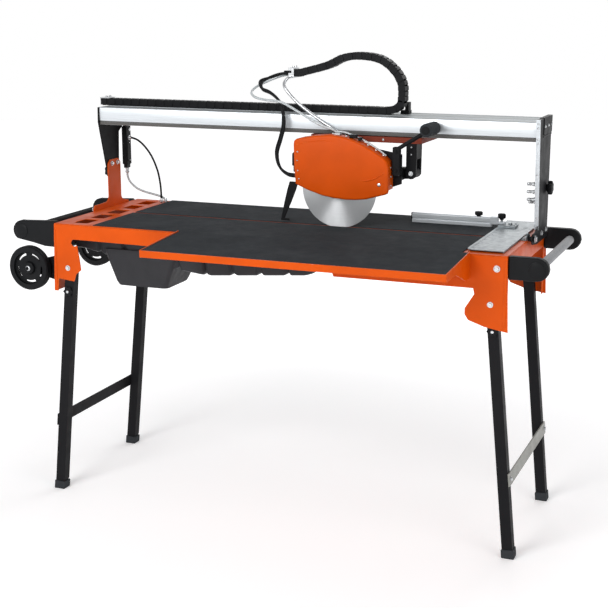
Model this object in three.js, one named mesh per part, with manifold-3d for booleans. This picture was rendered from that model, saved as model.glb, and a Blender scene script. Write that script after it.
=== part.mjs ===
// Bridge tile cutter: a folding-leg table with a tilting beam, on which a water-cooled saw head runs.
// Millimetres, +Z up. While it is laid out, X = 0 is the middle of the table, Y = 0 the line of the cut
// and Z = 0 the floor; the finished group is then moved so that its origin is the middle of its base.
import * as THREE from 'three';
import { mergeVertices } from 'three/addons/utils/BufferGeometryUtils.js';
import Module from 'manifold-3d';

const wasm = await Module();
wasm.setup();

// ---- driving dimensions ----
const GAP = 0.3; // clearance between pieces that touch
const FRAME_LENGTH = 1500; // table frame, over its end panels
const TABLE_TOP = 931; // height of the working surface
const FRONT_Y = -277; // outer face of the front panel
const REAR_Y = 277; // outer face of the rear panel
const DECK_REAR_Y = 287; // the deck overhangs the rear panel
const SHEET = 3; // steel sheet of the frame
const MAT = 3; // rubber mats
const RAIL_DEPTH = 104; // front and rear panels, deep part
const CUTOUT_TOP = 61; // how far below the deck the tray cut-out starts
const SLOT_WIDTH = 14; // blade slot
const LEG_PIVOT_IN = 46; // leg pivots, in from the frame's ends
const LEG_PIVOT_DOWN = 149; // and below the working surface
const LEG_TUBE = 33; // square leg tube
const LEG_ROOM = 8.5; // between the legs and the panels, for the lock knobs
const LEG_Y = REAR_Y - SHEET - LEG_ROOM - LEG_TUBE / 2; // legs' middles, front and rear
const LEG_WALL = 2;
const LEG_SPLAY = 77; // how far out each foot stands of its pivot
const BAR_WIDTH = 40; // flat bar between each pair of legs
const BAR_THICK = 5;
const BLADE_RADIUS = 125;
const BLADE_THICK = 2;
const BLADE_BELOW = 5; // the blade's lowest point, below the working surface
const BLADE_X = 138; // where the head is parked along the beam
const BEAM_BOTTOM = 1219;
const BEAM_HEIGHT = 59;
const BEAM_FRONT_Y = 46;
const BEAM_DEPTH = 188;
const BEAM_WALL = 4;
const WHEEL_RADIUS = 75;
const WHEEL_WIDTH = 28;
const WHEEL_OUT = 139; // wheel centres, out from the left end
const WHEEL_Z = 758;
const HANDLE_TUBE_RADIUS = 11;
const FOAM_RADIUS = 14;
const TRAY_WALL = 3;
const LEAD_RADIUS = 4.5;
const HOSE_RADIUS = 4;

// ---- derived places ----
const END_X = FRAME_LENGTH / 2;
const DECK_TOP = TABLE_TOP - MAT;
const DECK_BOTTOM = DECK_TOP - SHEET;
const PANEL_TOP = DECK_BOTTOM - GAP;
const PIVOT_X = END_X - LEG_PIVOT_IN;
const PIVOT_Z = TABLE_TOP - LEG_PIVOT_DOWN;
const SPLAY_ANGLE = Math.atan2(LEG_SPLAY, PIVOT_Z);
const BLADE_Z = TABLE_TOP - BLADE_BELOW + BLADE_RADIUS;
const BEAM_TOP = BEAM_BOTTOM + BEAM_HEIGHT;
const BEAM_REAR_Y = BEAM_FRONT_Y + BEAM_DEPTH;
const CHAIN_Y = [120, 160];

// ---- looks ----
const LOOKS = {
  orange: [0xe8590c, 0.42, 0.1],
  black: [0x1b1c1e, 0.5, 0.2],
  charcoal: [0x38393b, 0.62, 0.05],
  rubber: [0x33363a, 0.85, 0],
  aluminium: [0xdfe4e8, 0.35, 0.85],
  zinc: [0xb4b9bc, 0.45, 0.8],
  steel: [0xc6c9cc, 0.3, 0.9],
  foam: [0xa9acae, 0.9, 0],
  redBrown: [0x7e3a22, 0.6, 0.1],
  greyPaint: [0x96968f, 0.5, 0.2],
  hose: [0xb9c2c4, 0.3, 0],
};

const machine = new THREE.Group();

function look(name) {
  const [color, roughness, metalness] = LOOKS[name];
  return new THREE.MeshStandardMaterial({ color, roughness, metalness });
}

function piece(name, geometry, material, parent = machine) {
  const mesh = new THREE.Mesh(geometry, look(material));
  mesh.name = name;
  parent.add(mesh);
  return mesh;
}

// ---- shape helpers ----
function outline(points) {
  return new THREE.Shape(points.map(([a, b]) => new THREE.Vector2(a, b)));
}

function arc(a, b, radius, from, to, steps = 6) {
  return Array.from({ length: steps + 1 }, (_, i) => {
    const angle = THREE.MathUtils.degToRad(from + ((to - from) * i) / steps);
    return [a + radius * Math.cos(angle), b + radius * Math.sin(angle)];
  });
}

function extruded(points, low, high, basis) {
  const options = { depth: high - low, bevelEnabled: false, steps: 1 };
  const geometry = new THREE.ExtrudeGeometry(outline(points), options);
  geometry.translate(0, 0, low);
  return geometry.applyMatrix4(basis);
}

const X = new THREE.Vector3(1, 0, 0);
const Y = new THREE.Vector3(0, 1, 0);
const Z = new THREE.Vector3(0, 0, 1);
const IDENTITY = new THREE.Matrix4();
const ALONG_X = new THREE.Matrix4().makeBasis(Y, Z, X);
const ALONG_Y = new THREE.Matrix4().makeBasis(X, Z, Y.clone().negate());

const prismX = (points, x0, x1) => extruded(points, x0, x1, ALONG_X);
const prismY = (points, y0, y1) => extruded(points, -y1, -y0, ALONG_Y);
const prismZ = (points, z0, z1) => extruded(points, z0, z1, IDENTITY);

function block([x0, x1], [y0, y1], [z0, z1]) {
  const geometry = new THREE.BoxGeometry(x1 - x0, y1 - y0, z1 - z0);
  return geometry.translate((x0 + x1) / 2, (y0 + y1) / 2, (z0 + z1) / 2);
}

function rod(from, to, radius, sides = 20) {
  const a = new THREE.Vector3(...from);
  const b = new THREE.Vector3(...to);
  const way = b.clone().sub(a);
  const geometry = new THREE.CylinderGeometry(radius, radius, way.length(), sides);
  geometry.applyQuaternion(new THREE.Quaternion().setFromUnitVectors(Y, way.clone().normalize()));
  return geometry.translate(...a.add(b).multiplyScalar(0.5).toArray());
}

function tube(points, radius, sides, steps) {
  const curve = new THREE.CatmullRomCurve3(points.map((p) => new THREE.Vector3(...p)));
  const section = outline(arc(0, 0, radius, 0, 360 - 360 / sides, sides - 1));
  return new THREE.ExtrudeGeometry(section, { steps, extrudePath: curve, bevelEnabled: false });
}

// a band of one thickness that follows a curve in the XZ plane
function band(points, thickness, [y0, y1], steps) {
  const curve = new THREE.CatmullRomCurve3(points.map(([x, z]) => new THREE.Vector3(x, z, 0)));
  const side = (sign) =>
    Array.from({ length: steps + 1 }, (_, i) => {
      const p = curve.getPointAt(i / steps);
      const t = curve.getTangentAt(i / steps);
      return [p.x - (sign * t.y * thickness) / 2, p.y + (sign * t.x * thickness) / 2];
    });
  return prismY([...side(1), ...side(-1).reverse()], y0, y1);
}

function solid(geometry) {
  const bare = geometry.clone();
  bare.deleteAttribute('normal');
  bare.deleteAttribute('uv');
  const merged = mergeVertices(bare, 1e-4);
  const vertProperties = new Float32Array(merged.attributes.position.array);
  const triVerts = new Uint32Array(merged.index.array);
  return new wasm.Manifold(new wasm.Mesh({ numProp: 3, vertProperties, triVerts }));
}

function geometryOf(manifold) {
  const mesh = manifold.getMesh();
  const geometry = new THREE.BufferGeometry();
  geometry.setAttribute('position', new THREE.BufferAttribute(mesh.vertProperties, 3));
  geometry.setIndex(new THREE.BufferAttribute(mesh.triVerts, 1));
  return geometry;
}

function joined(first, ...others) {
  return geometryOf(others.reduce((sum, g) => sum.add(solid(g)), solid(first)));
}

function cut(base, ...tools) {
  return geometryOf(tools.reduce((left, g) => left.subtract(solid(g)), solid(base)));
}

// ---- table frame ----
const BRACKET_BOLT_IN = 30; // fixing bolt of the handle arm, in from the frame's right end
const BRACKET_BOLT_DOWN = 42; // and below the working surface
const BRACKET_BOLT_RADIUS = 7;
const BRACKET_BOLT_HEIGHT = 5;
const CUTOUT_X = [-677, 210]; // tray cut-out in the front and rear panels
const CUTOUT_RELIEF = 12;
const POST_BOTTOM = 703; // lowest edge of the corner posts
const POST_FLARE = 8; // their lower corners stand out past the end faces

function panelOutline() {
  const cutTop = TABLE_TOP - CUTOUT_TOP;
  const deep = TABLE_TOP - RAIL_DEPTH;
  return [
    [-END_X, PANEL_TOP],
    [-END_X - POST_FLARE, POST_BOTTOM],
    [-END_X + 6, POST_BOTTOM],
    [-END_X + 10, 745],
    [-PIVOT_X + 22, 739],
    [-PIVOT_X + 30, 763],
    [-PIVOT_X + 49, 778],
    [-PIVOT_X + 46, 805],
    [-PIVOT_X + 38, cutTop - 14],
    ...arc(CUTOUT_X[0], cutTop - 3, CUTOUT_RELIEF, 315, 75, 6),
    [CUTOUT_X[1] - 20, cutTop],
    [CUTOUT_X[1], cutTop - 12],
    [CUTOUT_X[1] + 12, deep],
    [PIVOT_X - 52, deep],
    [PIVOT_X - 48, 810],
    [PIVOT_X - 75, 766],
    [PIVOT_X - 75, 748],
    [PIVOT_X - 64, 731],
    [PIVOT_X - 16, 715],
    [END_X + POST_FLARE, POST_BOTTOM],
    [END_X, PANEL_TOP],
  ];
}

const FLANGE_DEPTH = { left: 90, right: 24 }; // end flanges of the panels, folded back
const END_PANEL_DEPTH = 60;

function sidePanel(name, sign) {
  const outer = sign < 0 ? FRONT_Y : REAR_Y;
  const middle = outer - (sign * SHEET) / 2;
  const span = (depth) => (sign < 0 ? [middle, outer + depth] : [outer - depth, middle]);
  const sheet = prismY(panelOutline(), middle - SHEET / 2, middle + SHEET / 2);
  const height = [POST_BOTTOM + 2, PANEL_TOP - 1];
  const edge = END_X - 0.5; // just inside the sheet's edge, so that no faces lie in one plane
  const left = block([-edge, -edge + SHEET], span(FLANGE_DEPTH.left), height);
  const right = block([edge - SHEET, edge], span(FLANGE_DEPTH.right), height);
  const boltAt = (y) => [END_X - BRACKET_BOLT_IN, y, TABLE_TOP - BRACKET_BOLT_DOWN];
  const bolt = rod(boltAt(middle), boltAt(outer + sign * BRACKET_BOLT_HEIGHT), BRACKET_BOLT_RADIUS, 6);
  piece(name, joined(sheet, left, right, bolt), 'orange');
}

function endPanel(name, side) {
  const flange = side < 0 ? FLANGE_DEPTH.left : FLANGE_DEPTH.right;
  const x = side < 0 ? [-END_X, -END_X + SHEET] : [END_X - SHEET, END_X];
  const y = [FRONT_Y + flange + GAP, REAR_Y - flange - GAP];
  piece(name, block(x, y, [PANEL_TOP - END_PANEL_DEPTH, PANEL_TOP]), 'orange');
}

const MAT_X = [-605, 617]; // mats, from the slotted left end to the scale plate
const END_SLOTS = 5; // openings in the deck's left end
const END_SLOT_X = [-697, -645];
const END_SLOT_SHARE = 0.72; // how much of their pitch they take up
const BLADE_SLOT_X = [-590, 612];
const DECK_MARGIN = 20; // plain deck at the front and rear of the row of openings

function tableDeck() {
  const plate = block([-END_X, END_X], [FRONT_Y, DECK_REAR_Y], [DECK_BOTTOM, DECK_TOP]);
  const through = [DECK_BOTTOM - 1, DECK_TOP + 1];
  const bladeSlot = block(BLADE_SLOT_X, [-SLOT_WIDTH / 2, SLOT_WIDTH / 2], through);
  const pitch = (DECK_REAR_Y - FRONT_Y - 2 * DECK_MARGIN) / END_SLOTS;
  const half = (pitch * END_SLOT_SHARE) / 2;
  const openings = Array.from({ length: END_SLOTS }, (_, i) => {
    const y = FRONT_Y + DECK_MARGIN + pitch * (i + 0.5);
    return block(END_SLOT_X, [y - half, y + half], through);
  });
  piece('table_deck', cut(plate, bladeSlot, ...openings), 'orange');
}

function tableMats() {
  const z = [DECK_TOP + GAP, TABLE_TOP];
  const edge = SLOT_WIDTH / 2 + 1;
  piece('front_table_mat', block(MAT_X, [FRONT_Y + 2, -edge], z), 'rubber');
  piece('rear_table_mat', block(MAT_X, [edge, DECK_REAR_Y - 2], z), 'rubber');
}

const EXTENSION_X = [-298, 641];
const EXTENSION_FRONT_Y = -528;
const EXTENSION_DROP = 15; // it slopes down to the front
const EXTENSION_LIP = 21;

function extensionProfile(top, thickness, back) {
  const front = EXTENSION_FRONT_Y;
  return [
    [back, top],
    [back, top - thickness],
    [front, top - thickness - EXTENSION_DROP],
    [front, top - EXTENSION_DROP],
  ];
}

function extensionPanel() {
  const [x0, x1] = EXTENSION_X;
  const inside = [x0 + SHEET / 2, x1 - SHEET / 2]; // half-way into the gussets
  const back = FRONT_Y - GAP;
  const lipFront = EXTENSION_FRONT_Y - SHEET;
  const bottom = TABLE_TOP - EXTENSION_DROP - EXTENSION_LIP;
  const lipTop = TABLE_TOP - EXTENSION_DROP;
  const sheetTop = TABLE_TOP - MAT - GAP;
  const sheet = prismX(extensionProfile(sheetTop, SHEET, back - 1), ...inside);
  const lip = block(inside, [lipFront, EXTENSION_FRONT_Y + 1], [bottom, lipTop]);
  const gusset = [
    [lipFront + 1, bottom - 1],
    [lipFront + 1, lipTop + 1],
    [back, TABLE_TOP + 3],
    [back, TABLE_TOP - 76],
    [back - 40, TABLE_TOP - 76],
    [EXTENSION_FRONT_Y + 100, bottom - 1],
  ];
  const sides = [prismX(gusset, x0, x0 + SHEET), prismX(gusset, x1 - SHEET, x1)];
  piece('extension_panel', joined(sheet, lip, ...sides), 'orange');
  const matX = [x0 + SHEET + GAP, x1 - SHEET - GAP];
  const mat = prismX(extensionProfile(TABLE_TOP, MAT, back), ...matX);
  const clear = block([x0, x1], [lipFront - 1, EXTENSION_FRONT_Y + 1 + GAP], [bottom, TABLE_TOP + 1]);
  piece('extension_mat', cut(mat, clear), 'rubber');
}

const SCALE_X = [620, 731];
const SCALE_Y = [-245, 285];
const SCALE_TOP = TABLE_TOP + 4;

function scalePlate() {
  const [x0, x1] = SCALE_X;
  const sheet = block(SCALE_X, SCALE_Y, [SCALE_TOP - SHEET, SCALE_TOP]);
  const foot = [DECK_TOP + GAP, SCALE_TOP - SHEET + 1];
  const flanges = [block([x0, x0 + SHEET], SCALE_Y, foot), block([x1 - SHEET, x1], SCALE_Y, foot)];
  piece('scale_plate', joined(sheet, ...flanges), 'zinc');
}

// ---- water tray and pump ----
const TRAY_Y = [-222, 200];
const BASIN_Y = [-222, -14];
const TRAY_TOP = 868;
const BASIN_FLOOR = 719;

function trayOutline(wall) {
  const w = wall;
  return [
    [-735 + w, TRAY_TOP + w],
    [-735 + w, 838 + w],
    [-243, 774 + w],
    [99, 802 + w],
    [188, 831 + w],
    [620 - w, 846 + w],
    [620 - w, TRAY_TOP + w],
  ];
}

function basinOutline(wall) {
  const w = wall;
  return [
    [-605 + w, 850],
    [-563 + w, BASIN_FLOOR + w],
    [-383 - w, BASIN_FLOOR + w],
    [-330 - w, 800],
    [-330 - w, 850],
  ];
}

function waterTray() {
  const inset = ([a, b], w) => [a + w, b - w];
  const outer = joined(prismY(trayOutline(0), ...TRAY_Y), prismY(basinOutline(0), ...BASIN_Y));
  const troughHollow = prismY(trayOutline(TRAY_WALL), ...inset(TRAY_Y, TRAY_WALL));
  const basinHollow = prismY(basinOutline(TRAY_WALL), ...inset(BASIN_Y, TRAY_WALL));
  piece('water_tray', cut(outer, troughHollow, basinHollow), 'charcoal');
}

function waterPump() {
  const floor = BASIN_FLOOR + TRAY_WALL + GAP;
  const body = block([-510, -440], [-150, -90], [floor, floor + 70]);
  const outlet = rod([-475, -120, floor + 60], [-475, -120, floor + 92], 8, 16);
  piece('water_pump', joined(body, outlet), 'black');
}

// ---- carry handles and wheels ----
const HANDLE_Y = [242, 270]; // thickness of a handle arm, front and rear alike

function mirroredY([a, b], sign) {
  return sign > 0 ? [a, b] : [-b, -a];
}

const LEFT_NOSE = [-END_X - 130, 894];
const RIGHT_NOSE = [END_X + 84, 892];
const NOSE_RADIUS = 34;

function leftArmOutline() {
  const [x, z] = LEFT_NOSE;
  return [
    [-END_X - GAP, 846],
    [-END_X - GAP, 933],
    ...arc(x, z, NOSE_RADIUS, 80, 235, 8),
    [-END_X - 88, 856],
    [-END_X - 45, 847],
  ];
}

function rightArmOutline() {
  const [x, z] = RIGHT_NOSE;
  return [
    [END_X + GAP, z + NOSE_RADIUS],
    [END_X + GAP, z - NOSE_RADIUS],
    ...arc(x, z, NOSE_RADIUS, -90, 90, 8),
  ];
}

function handle(side, arm, nose, tubeRadius, tubeName, tubeLook) {
  const [x, z] = nose;
  for (const [end, sign] of [['front', -1], ['rear', 1]]) {
    piece(`${side}_handle_arm_${end}`, prismY(arm, ...mirroredY(HANDLE_Y, sign)), 'black');
  }
  const reach = HANDLE_Y[0] - GAP;
  piece(tubeName, rod([x, -reach, z], [x, reach, z], tubeRadius, 20), tubeLook);
}

const WHEEL_X = -END_X - WHEEL_OUT;
const WHEEL_MIDDLE_Y = 216;
const AXLE_RADIUS = 6;
const WHEEL_BRACKET_Y = [190, 194]; // plate of the bracket, front and rear alike
const WHEEL_FOOT_Y = [190, 245]; // and its foot on the frame's end
const WHEEL_FOOT_Z = [714, 807];

function wheelBracket(name, sign) {
  const plateY = mirroredY(WHEEL_BRACKET_Y, sign);
  const arm = [
    [-END_X - GAP - 1, WHEEL_FOOT_Z[0]],
    [-END_X - GAP - 1, WHEEL_FOOT_Z[1]],
    [-END_X - 56, 800],
    ...arc(WHEEL_X, WHEEL_Z, 24, 70, 290, 6),
    [-END_X - 56, 718],
  ];
  const foot = block([-END_X - GAP - SHEET, -END_X - GAP], mirroredY(WHEEL_FOOT_Y, sign), WHEEL_FOOT_Z);
  const stubY = mirroredY([WHEEL_BRACKET_Y[0] + 2, WHEEL_MIDDLE_Y + WHEEL_WIDTH / 2 + 6], sign);
  const stub = rod([WHEEL_X, stubY[0], WHEEL_Z], [WHEEL_X, stubY[1], WHEEL_Z], AXLE_RADIUS, 16);
  piece(name, joined(prismY(arm, ...plateY), foot, stub), 'black');
}

const SPOKES = 5;
const HUB_RADIUS = 24;
const RIM_RADIUS = 56; // inside of the rim
const HALF_WEB = 4;
const TREAD_CHAMFER = 3;
const WINDOW_RADIUS = 10;

function wheel(name, sign) {
  const half = WHEEL_WIDTH / 2;
  const bore = AXLE_RADIUS + GAP;
  const disc = new THREE.LatheGeometry(
    [
      [bore, -half],
      [HUB_RADIUS, -half],
      [HUB_RADIUS, -HALF_WEB],
      [RIM_RADIUS, -HALF_WEB],
      [RIM_RADIUS, -half],
      [WHEEL_RADIUS - TREAD_CHAMFER, -half],
      [WHEEL_RADIUS, -half + TREAD_CHAMFER],
      [WHEEL_RADIUS, half - TREAD_CHAMFER],
      [WHEEL_RADIUS - TREAD_CHAMFER, half],
      [RIM_RADIUS, half],
      [RIM_RADIUS, HALF_WEB],
      [HUB_RADIUS, HALF_WEB],
      [HUB_RADIUS, half],
      [bore, half],
      [bore, -half],
    ].map(([r, h]) => new THREE.Vector2(r, h)),
    32,
  );
  const windowMiddle = (HUB_RADIUS + RIM_RADIUS) / 2;
  const windows = Array.from({ length: SPOKES }, (_, i) => {
    const angle = (i * 2 * Math.PI) / SPOKES;
    const x = windowMiddle * Math.cos(angle);
    const z = windowMiddle * Math.sin(angle);
    return rod([x, -half, z], [x, half, z], WINDOW_RADIUS, 12);
  });
  const mesh = piece(name, cut(disc, ...windows), 'rubber');
  mesh.position.set(WHEEL_X, sign * WHEEL_MIDDLE_Y, WHEEL_Z);
}

// ---- folding legs ----
const LEG_RISE = 24; // tube above its pivot
const FOOT_HEIGHT = 30;
const BAR_FROM_PIVOT = 537; // middle of the flat bar, down the leg
const LOCK_FROM_PIVOT = 82; // lock knob, down the leg

function legGroup(side) {
  const group = new THREE.Group();
  group.position.set(side * PIVOT_X, 0, PIVOT_Z);
  group.rotation.y = -side * SPLAY_ANGLE;
  machine.add(group);
  return group;
}

// local frame: the pivot is the origin and the leg runs down -Z; the floor is a slanted line
function floorAt(x, side, height) {
  return -(PIVOT_Z - height) / Math.cos(SPLAY_ANGLE) - side * x * Math.tan(SPLAY_ANGLE);
}

function legs(sideName, side, barLook) {
  const group = legGroup(side);
  const half = LEG_TUBE / 2;
  const strip = (w, top, height) => [
    [-w, floorAt(-w, side, height)],
    [w, floorAt(w, side, height)],
    [w, top],
    [-w, top],
  ];
  for (const [end, sign] of [['front', -1], ['rear', 1]]) {
    const y = sign * LEG_Y;
    const outer = prismY(strip(half, LEG_RISE, FOOT_HEIGHT), y - half, y + half);
    const inner = half - LEG_WALL;
    const hollow = prismY(strip(inner, LEG_RISE - LEG_WALL, FOOT_HEIGHT - 5), y - inner, y + inner);
    piece(`leg_${sideName}_${end}`, cut(outer, hollow), 'black', group);
    const pad = prismY(strip(half + 3, floorAt(0, side, FOOT_HEIGHT - 2), 0), y - half - 3, y + half + 3);
    piece(`foot_${sideName}_${end}`, pad, 'rubber', group);
  }
  const reach = LEG_Y + half;
  const face = side * (half + GAP);
  const barX = [Math.min(face, face + side * BAR_THICK), Math.max(face, face + side * BAR_THICK)];
  const barZ = [-BAR_FROM_PIVOT - BAR_WIDTH / 2, -BAR_FROM_PIVOT + BAR_WIDTH / 2];
  piece(`crossbar_${sideName}`, block(barX, [-reach, reach], barZ), barLook, group);
  const knob = starKnob(18, 6);
  knob.rotateX(Math.PI / 2);
  knob.translate(0, -LEG_Y - half - GAP, -LOCK_FROM_PIVOT);
  piece(`leg_lock_knob_${sideName}`, knob, 'black', group);
}

// a knob with six lobes; its back face is z = 0 and it stands up along +Z
function starKnob(radius, height) {
  const lobes = 6;
  const points = Array.from({ length: lobes * 6 }, (_, i) => {
    const angle = (i * 2 * Math.PI) / (lobes * 6);
    const r = radius * (1 - 0.1 * (1 - Math.cos(lobes * angle)));
    return [r * Math.cos(angle), r * Math.sin(angle)];
  });
  return prismZ(points, 0, height);
}

// ---- tilting beam ----
const ARM_THICK = 4;
const UPRIGHT_X = [-END_X - GAP - ARM_THICK, -END_X - GAP];
const LEFT_PLATE_X = [UPRIGHT_X[0] - GAP - ARM_THICK, UPRIGHT_X[0] - GAP];
const RIGHT_ARM_X = [END_X + 3, END_X + 15];
const RIGHT_ARM_REAR = 212;
const TILT_LUG_RADIUS = 18;
const PIN_RADIUS = 8;

function beam() {
  const x = [UPRIGHT_X[0], RIGHT_ARM_X[0] - GAP];
  const tubeBody = block(x, [BEAM_FRONT_Y, BEAM_REAR_Y], [BEAM_BOTTOM, BEAM_TOP]);
  const hollowY = [BEAM_FRONT_Y + BEAM_WALL, BEAM_REAR_Y - BEAM_WALL];
  const hollow = block([x[0] - 1, x[1] + 1], hollowY, [BEAM_BOTTOM + BEAM_WALL, BEAM_TOP - BEAM_WALL]);
  const grooveY = BEAM_FRONT_Y - 1;
  const groove = block([x[0] - 1, x[1] + 1], [grooveY, grooveY + 3], [BEAM_BOTTOM + 9, BEAM_BOTTOM + 12]);
  piece('beam', cut(tubeBody, hollow, groove), 'aluminium');
}

function uprightOutline() {
  return [
    ...arc(0, TABLE_TOP, TILT_LUG_RADIUS, 120, 270, 6),
    [60, 905],
    [223, 905],
    [223, 934],
    [190, 942],
    ...arc(190, 960, 18, 250, 180, 3),
    [172, 1078],
    [158, 1092],
    [100, 1092],
    [86, 1078],
    [86, 970],
    ...arc(66, 968, 20, 0, -80, 3),
    [20, 946],
  ];
}

function leftArm() {
  const boss = rod([UPRIGHT_X[0] - 6, 0, TABLE_TOP], [UPRIGHT_X[0] + 1, 0, TABLE_TOP], PIN_RADIUS, 16);
  piece('left_arm_upright', joined(prismX(uprightOutline(), ...UPRIGHT_X), boss), 'orange');
  const plate = [
    [86, 1056],
    [170, 1056],
    [176, 1184],
    [200, 1200],
    [200, BEAM_TOP],
    [40, BEAM_TOP],
    [38, 1227],
  ];
  piece('left_arm_plate', prismX(plate, ...LEFT_PLATE_X), 'black');
}

function rightArmOutlineYZ(w) {
  return [
    [70 + w, 950],
    [RIGHT_ARM_REAR - w, 950],
    [RIGHT_ARM_REAR - w, BEAM_TOP + 9 - w],
    [37 + w, BEAM_TOP + 9 - w],
  ];
}

function rightArm() {
  const [x0, x1] = RIGHT_ARM_X;
  const base = [
    ...arc(0, TABLE_TOP, TILT_LUG_RADIUS, 120, 270, 6),
    [60, 905],
    [RIGHT_ARM_REAR, 905],
    [RIGHT_ARM_REAR, 960],
    [70, 960],
    [24, 946],
  ];
  const channel = cut(prismX(rightArmOutlineYZ(0), x0, x1), prismX(rightArmOutlineYZ(3), x0 - 1, x1 - 3));
  const foot = prismX(base, x1 - 3, x1);
  const pin = rod([END_X + 1, 0, TABLE_TOP], [x1 + 6, 0, TABLE_TOP], PIN_RADIUS, 16);
  piece('right_arm', joined(channel, foot, pin), 'black');
}

const CLAMP_KNOB_RADIUS = 22;
const CLAMP_KNOB_HEIGHT = 20;

function clampKnob(name, side, x, y, z) {
  const knob = starKnob(CLAMP_KNOB_RADIUS, CLAMP_KNOB_HEIGHT);
  knob.applyMatrix4(ALONG_X);
  if (side < 0) knob.rotateZ(Math.PI);
  knob.translate(x, y, z);
  piece(name, knob, 'black');
}

const CHAIN_THICK = 24;
const CHAIN_LEFT_X = -786;
const CHAIN_TURN_X = 262;

function cableChainRun() {
  const z = BEAM_TOP + GAP;
  piece('cable_chain_run', block([CHAIN_LEFT_X, CHAIN_TURN_X], CHAIN_Y, [z, z + CHAIN_THICK]), 'black');
}

const PLUG_BOX_X = [-750, -730];

function plugBox() {
  piece('plug_box', block(PLUG_BOX_X, [186, 216], [1053, BEAM_BOTTOM - GAP]), 'black');
}

// ---- carriage, head and blade ----
const HEAD_HINGE = [362, 1105]; // X and Z of the plunge hinge
const HINGE_PIN_RADIUS = 9;
const CARRIAGE_Z = [1199, BEAM_BOTTOM - 2];

const CARRIAGE_X = [26, 396];
const CARRIAGE_Y = [40, 222];

function carriagePlate() {
  piece('carriage_plate', block(CARRIAGE_X, CARRIAGE_Y, CARRIAGE_Z), 'redBrown');
}

function hingeBracket() {
  const [x, z] = HEAD_HINGE;
  const web = [
    [x - 16, CARRIAGE_Z[0] - GAP],
    [x - 16, z - 6],
    ...arc(x, z, 18, 200, 340, 6),
    [x + 18, CARRIAGE_Z[0] - GAP],
  ];
  const cheeks = [prismY(web, 40, 48), prismY(web, 92, 100)];
  const bridge = block([x - 16, x + 18], [44, 96], [1150, CARRIAGE_Z[0] - GAP]);
  const pin = rod([x, 44, z], [x, 96, z], HINGE_PIN_RADIUS, 16);
  piece('hinge_bracket', joined(cheeks[0], cheeks[1], bridge, pin), 'black');
}

const LOOP_POINTS = [
  [302, 1322],
  [300, 1376],
  [278, 1415],
  [232, 1450],
  [161, 1462],
  [103, 1455],
  [52, 1432],
  [-50, 1404],
];

function cableChainLoop() {
  piece('cable_chain_loop', band(LOOP_POINTS, CHAIN_THICK, CHAIN_Y, 28), 'black');
}

const HOLDER_Y = 33;
const HOLDER_CLAMP_X = [-84, -64.5];
const STAY_RADIUS = 5;
const HOLDER_FOOT_TOP = 1211;

function chainHolder() {
  const clampBlock = block(HOLDER_CLAMP_X, [CHAIN_Y[0] - 4, CHAIN_Y[1] + 4], [1385, 1424]);
  const stay = tube(
    [
      [-74, 130, 1392],
      [-74, 80, 1386],
      [-66, HOLDER_Y + 6, 1366],
      [-20, HOLDER_Y, 1318],
      [60, HOLDER_Y, 1262],
      [118, HOLDER_Y, 1226],
      [124, HOLDER_Y, 1207],
    ],
    STAY_RADIUS,
    8,
    24,
  );
  const foot = block([108, 136], [16, CARRIAGE_Y[0] - GAP], [CARRIAGE_Z[0], HOLDER_FOOT_TOP]);
  piece('chain_holder', joined(clampBlock, stay, foot), 'steel');
}

const GUARD_Y = [-40, 8];
const GUARD_WALL = 2.5;

function guardOutline(w) {
  return [
    [4 + w, 1064],
    [-5 + w, 1190],
    [18 + w, 1212 - w],
    [120, 1226 - w],
    [187, 1214 - w],
    [253 - w, 1186 - w],
    [312 - w, 1150 - w],
    [314 - w, 1050],
    [307 - w, 1046],
    [239, 1026],
    [172, 1022],
    [94, 1031],
  ];
}

function guardHollow() {
  const closed = guardOutline(GUARD_WALL);
  return closed.map(([x, z]) => [x, z < 1070 ? z - 60 : z]);
}

function bladeGuard() {
  const shell = prismY(guardOutline(0), ...GUARD_Y);
  const hollow = prismY(guardHollow(), GUARD_Y[0] + GUARD_WALL, GUARD_Y[1] + 1);
  piece('blade_guard', cut(shell, hollow), 'orange');
}

const SHAFT_RADIUS = 10;
const HEAD_PLATE_Y = [GUARD_Y[1] + GAP, GUARD_Y[1] + 6];

function headPlate() {
  const [x, z] = HEAD_HINGE;
  const plate = [
    [0, 1190],
    [4, 1076],
    [94, 1036],
    [239, 1036],
    [300, 1060],
    [x - 20, z - 30],
    [x - 20, 1168],
    [250, 1184],
    [120, 1214],
    [20, 1206],
  ];
  const sheet = prismY(plate, ...HEAD_PLATE_Y);
  const arm = prismY(
    [
      [x - 60, z - 22],
      ...arc(x, z, 17, 270, 450, 6),
      [x - 60, z + 14],
    ],
    50,
    90,
  );
  const neck = block([x - 60, x - 24], [HEAD_PLATE_Y[0], 90], [z - 20, z + 12]);
  const hingeHole = rod([x, 40, z], [x, 100, z], HINGE_PIN_RADIUS + GAP, 16);
  const shaftHole = rod([BLADE_X, 0, BLADE_Z], [BLADE_X, 40, BLADE_Z], SHAFT_RADIUS + 2, 20);
  piece('head_plate', cut(joined(sheet, neck, arm), hingeHole, shaftHole), 'black');
}

const SPINDLE_END_Y = HEAD_PLATE_Y[1] + 10;
const FLANGE_RADIUS = 28; // clamping flanges on each side of the blade

const MOTOR_RADIUS = 51;
const MOTOR_BODY = 150; // length of the finned body
const MOTOR_COWL = 28; // and of the fan's cowl behind it

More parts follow.
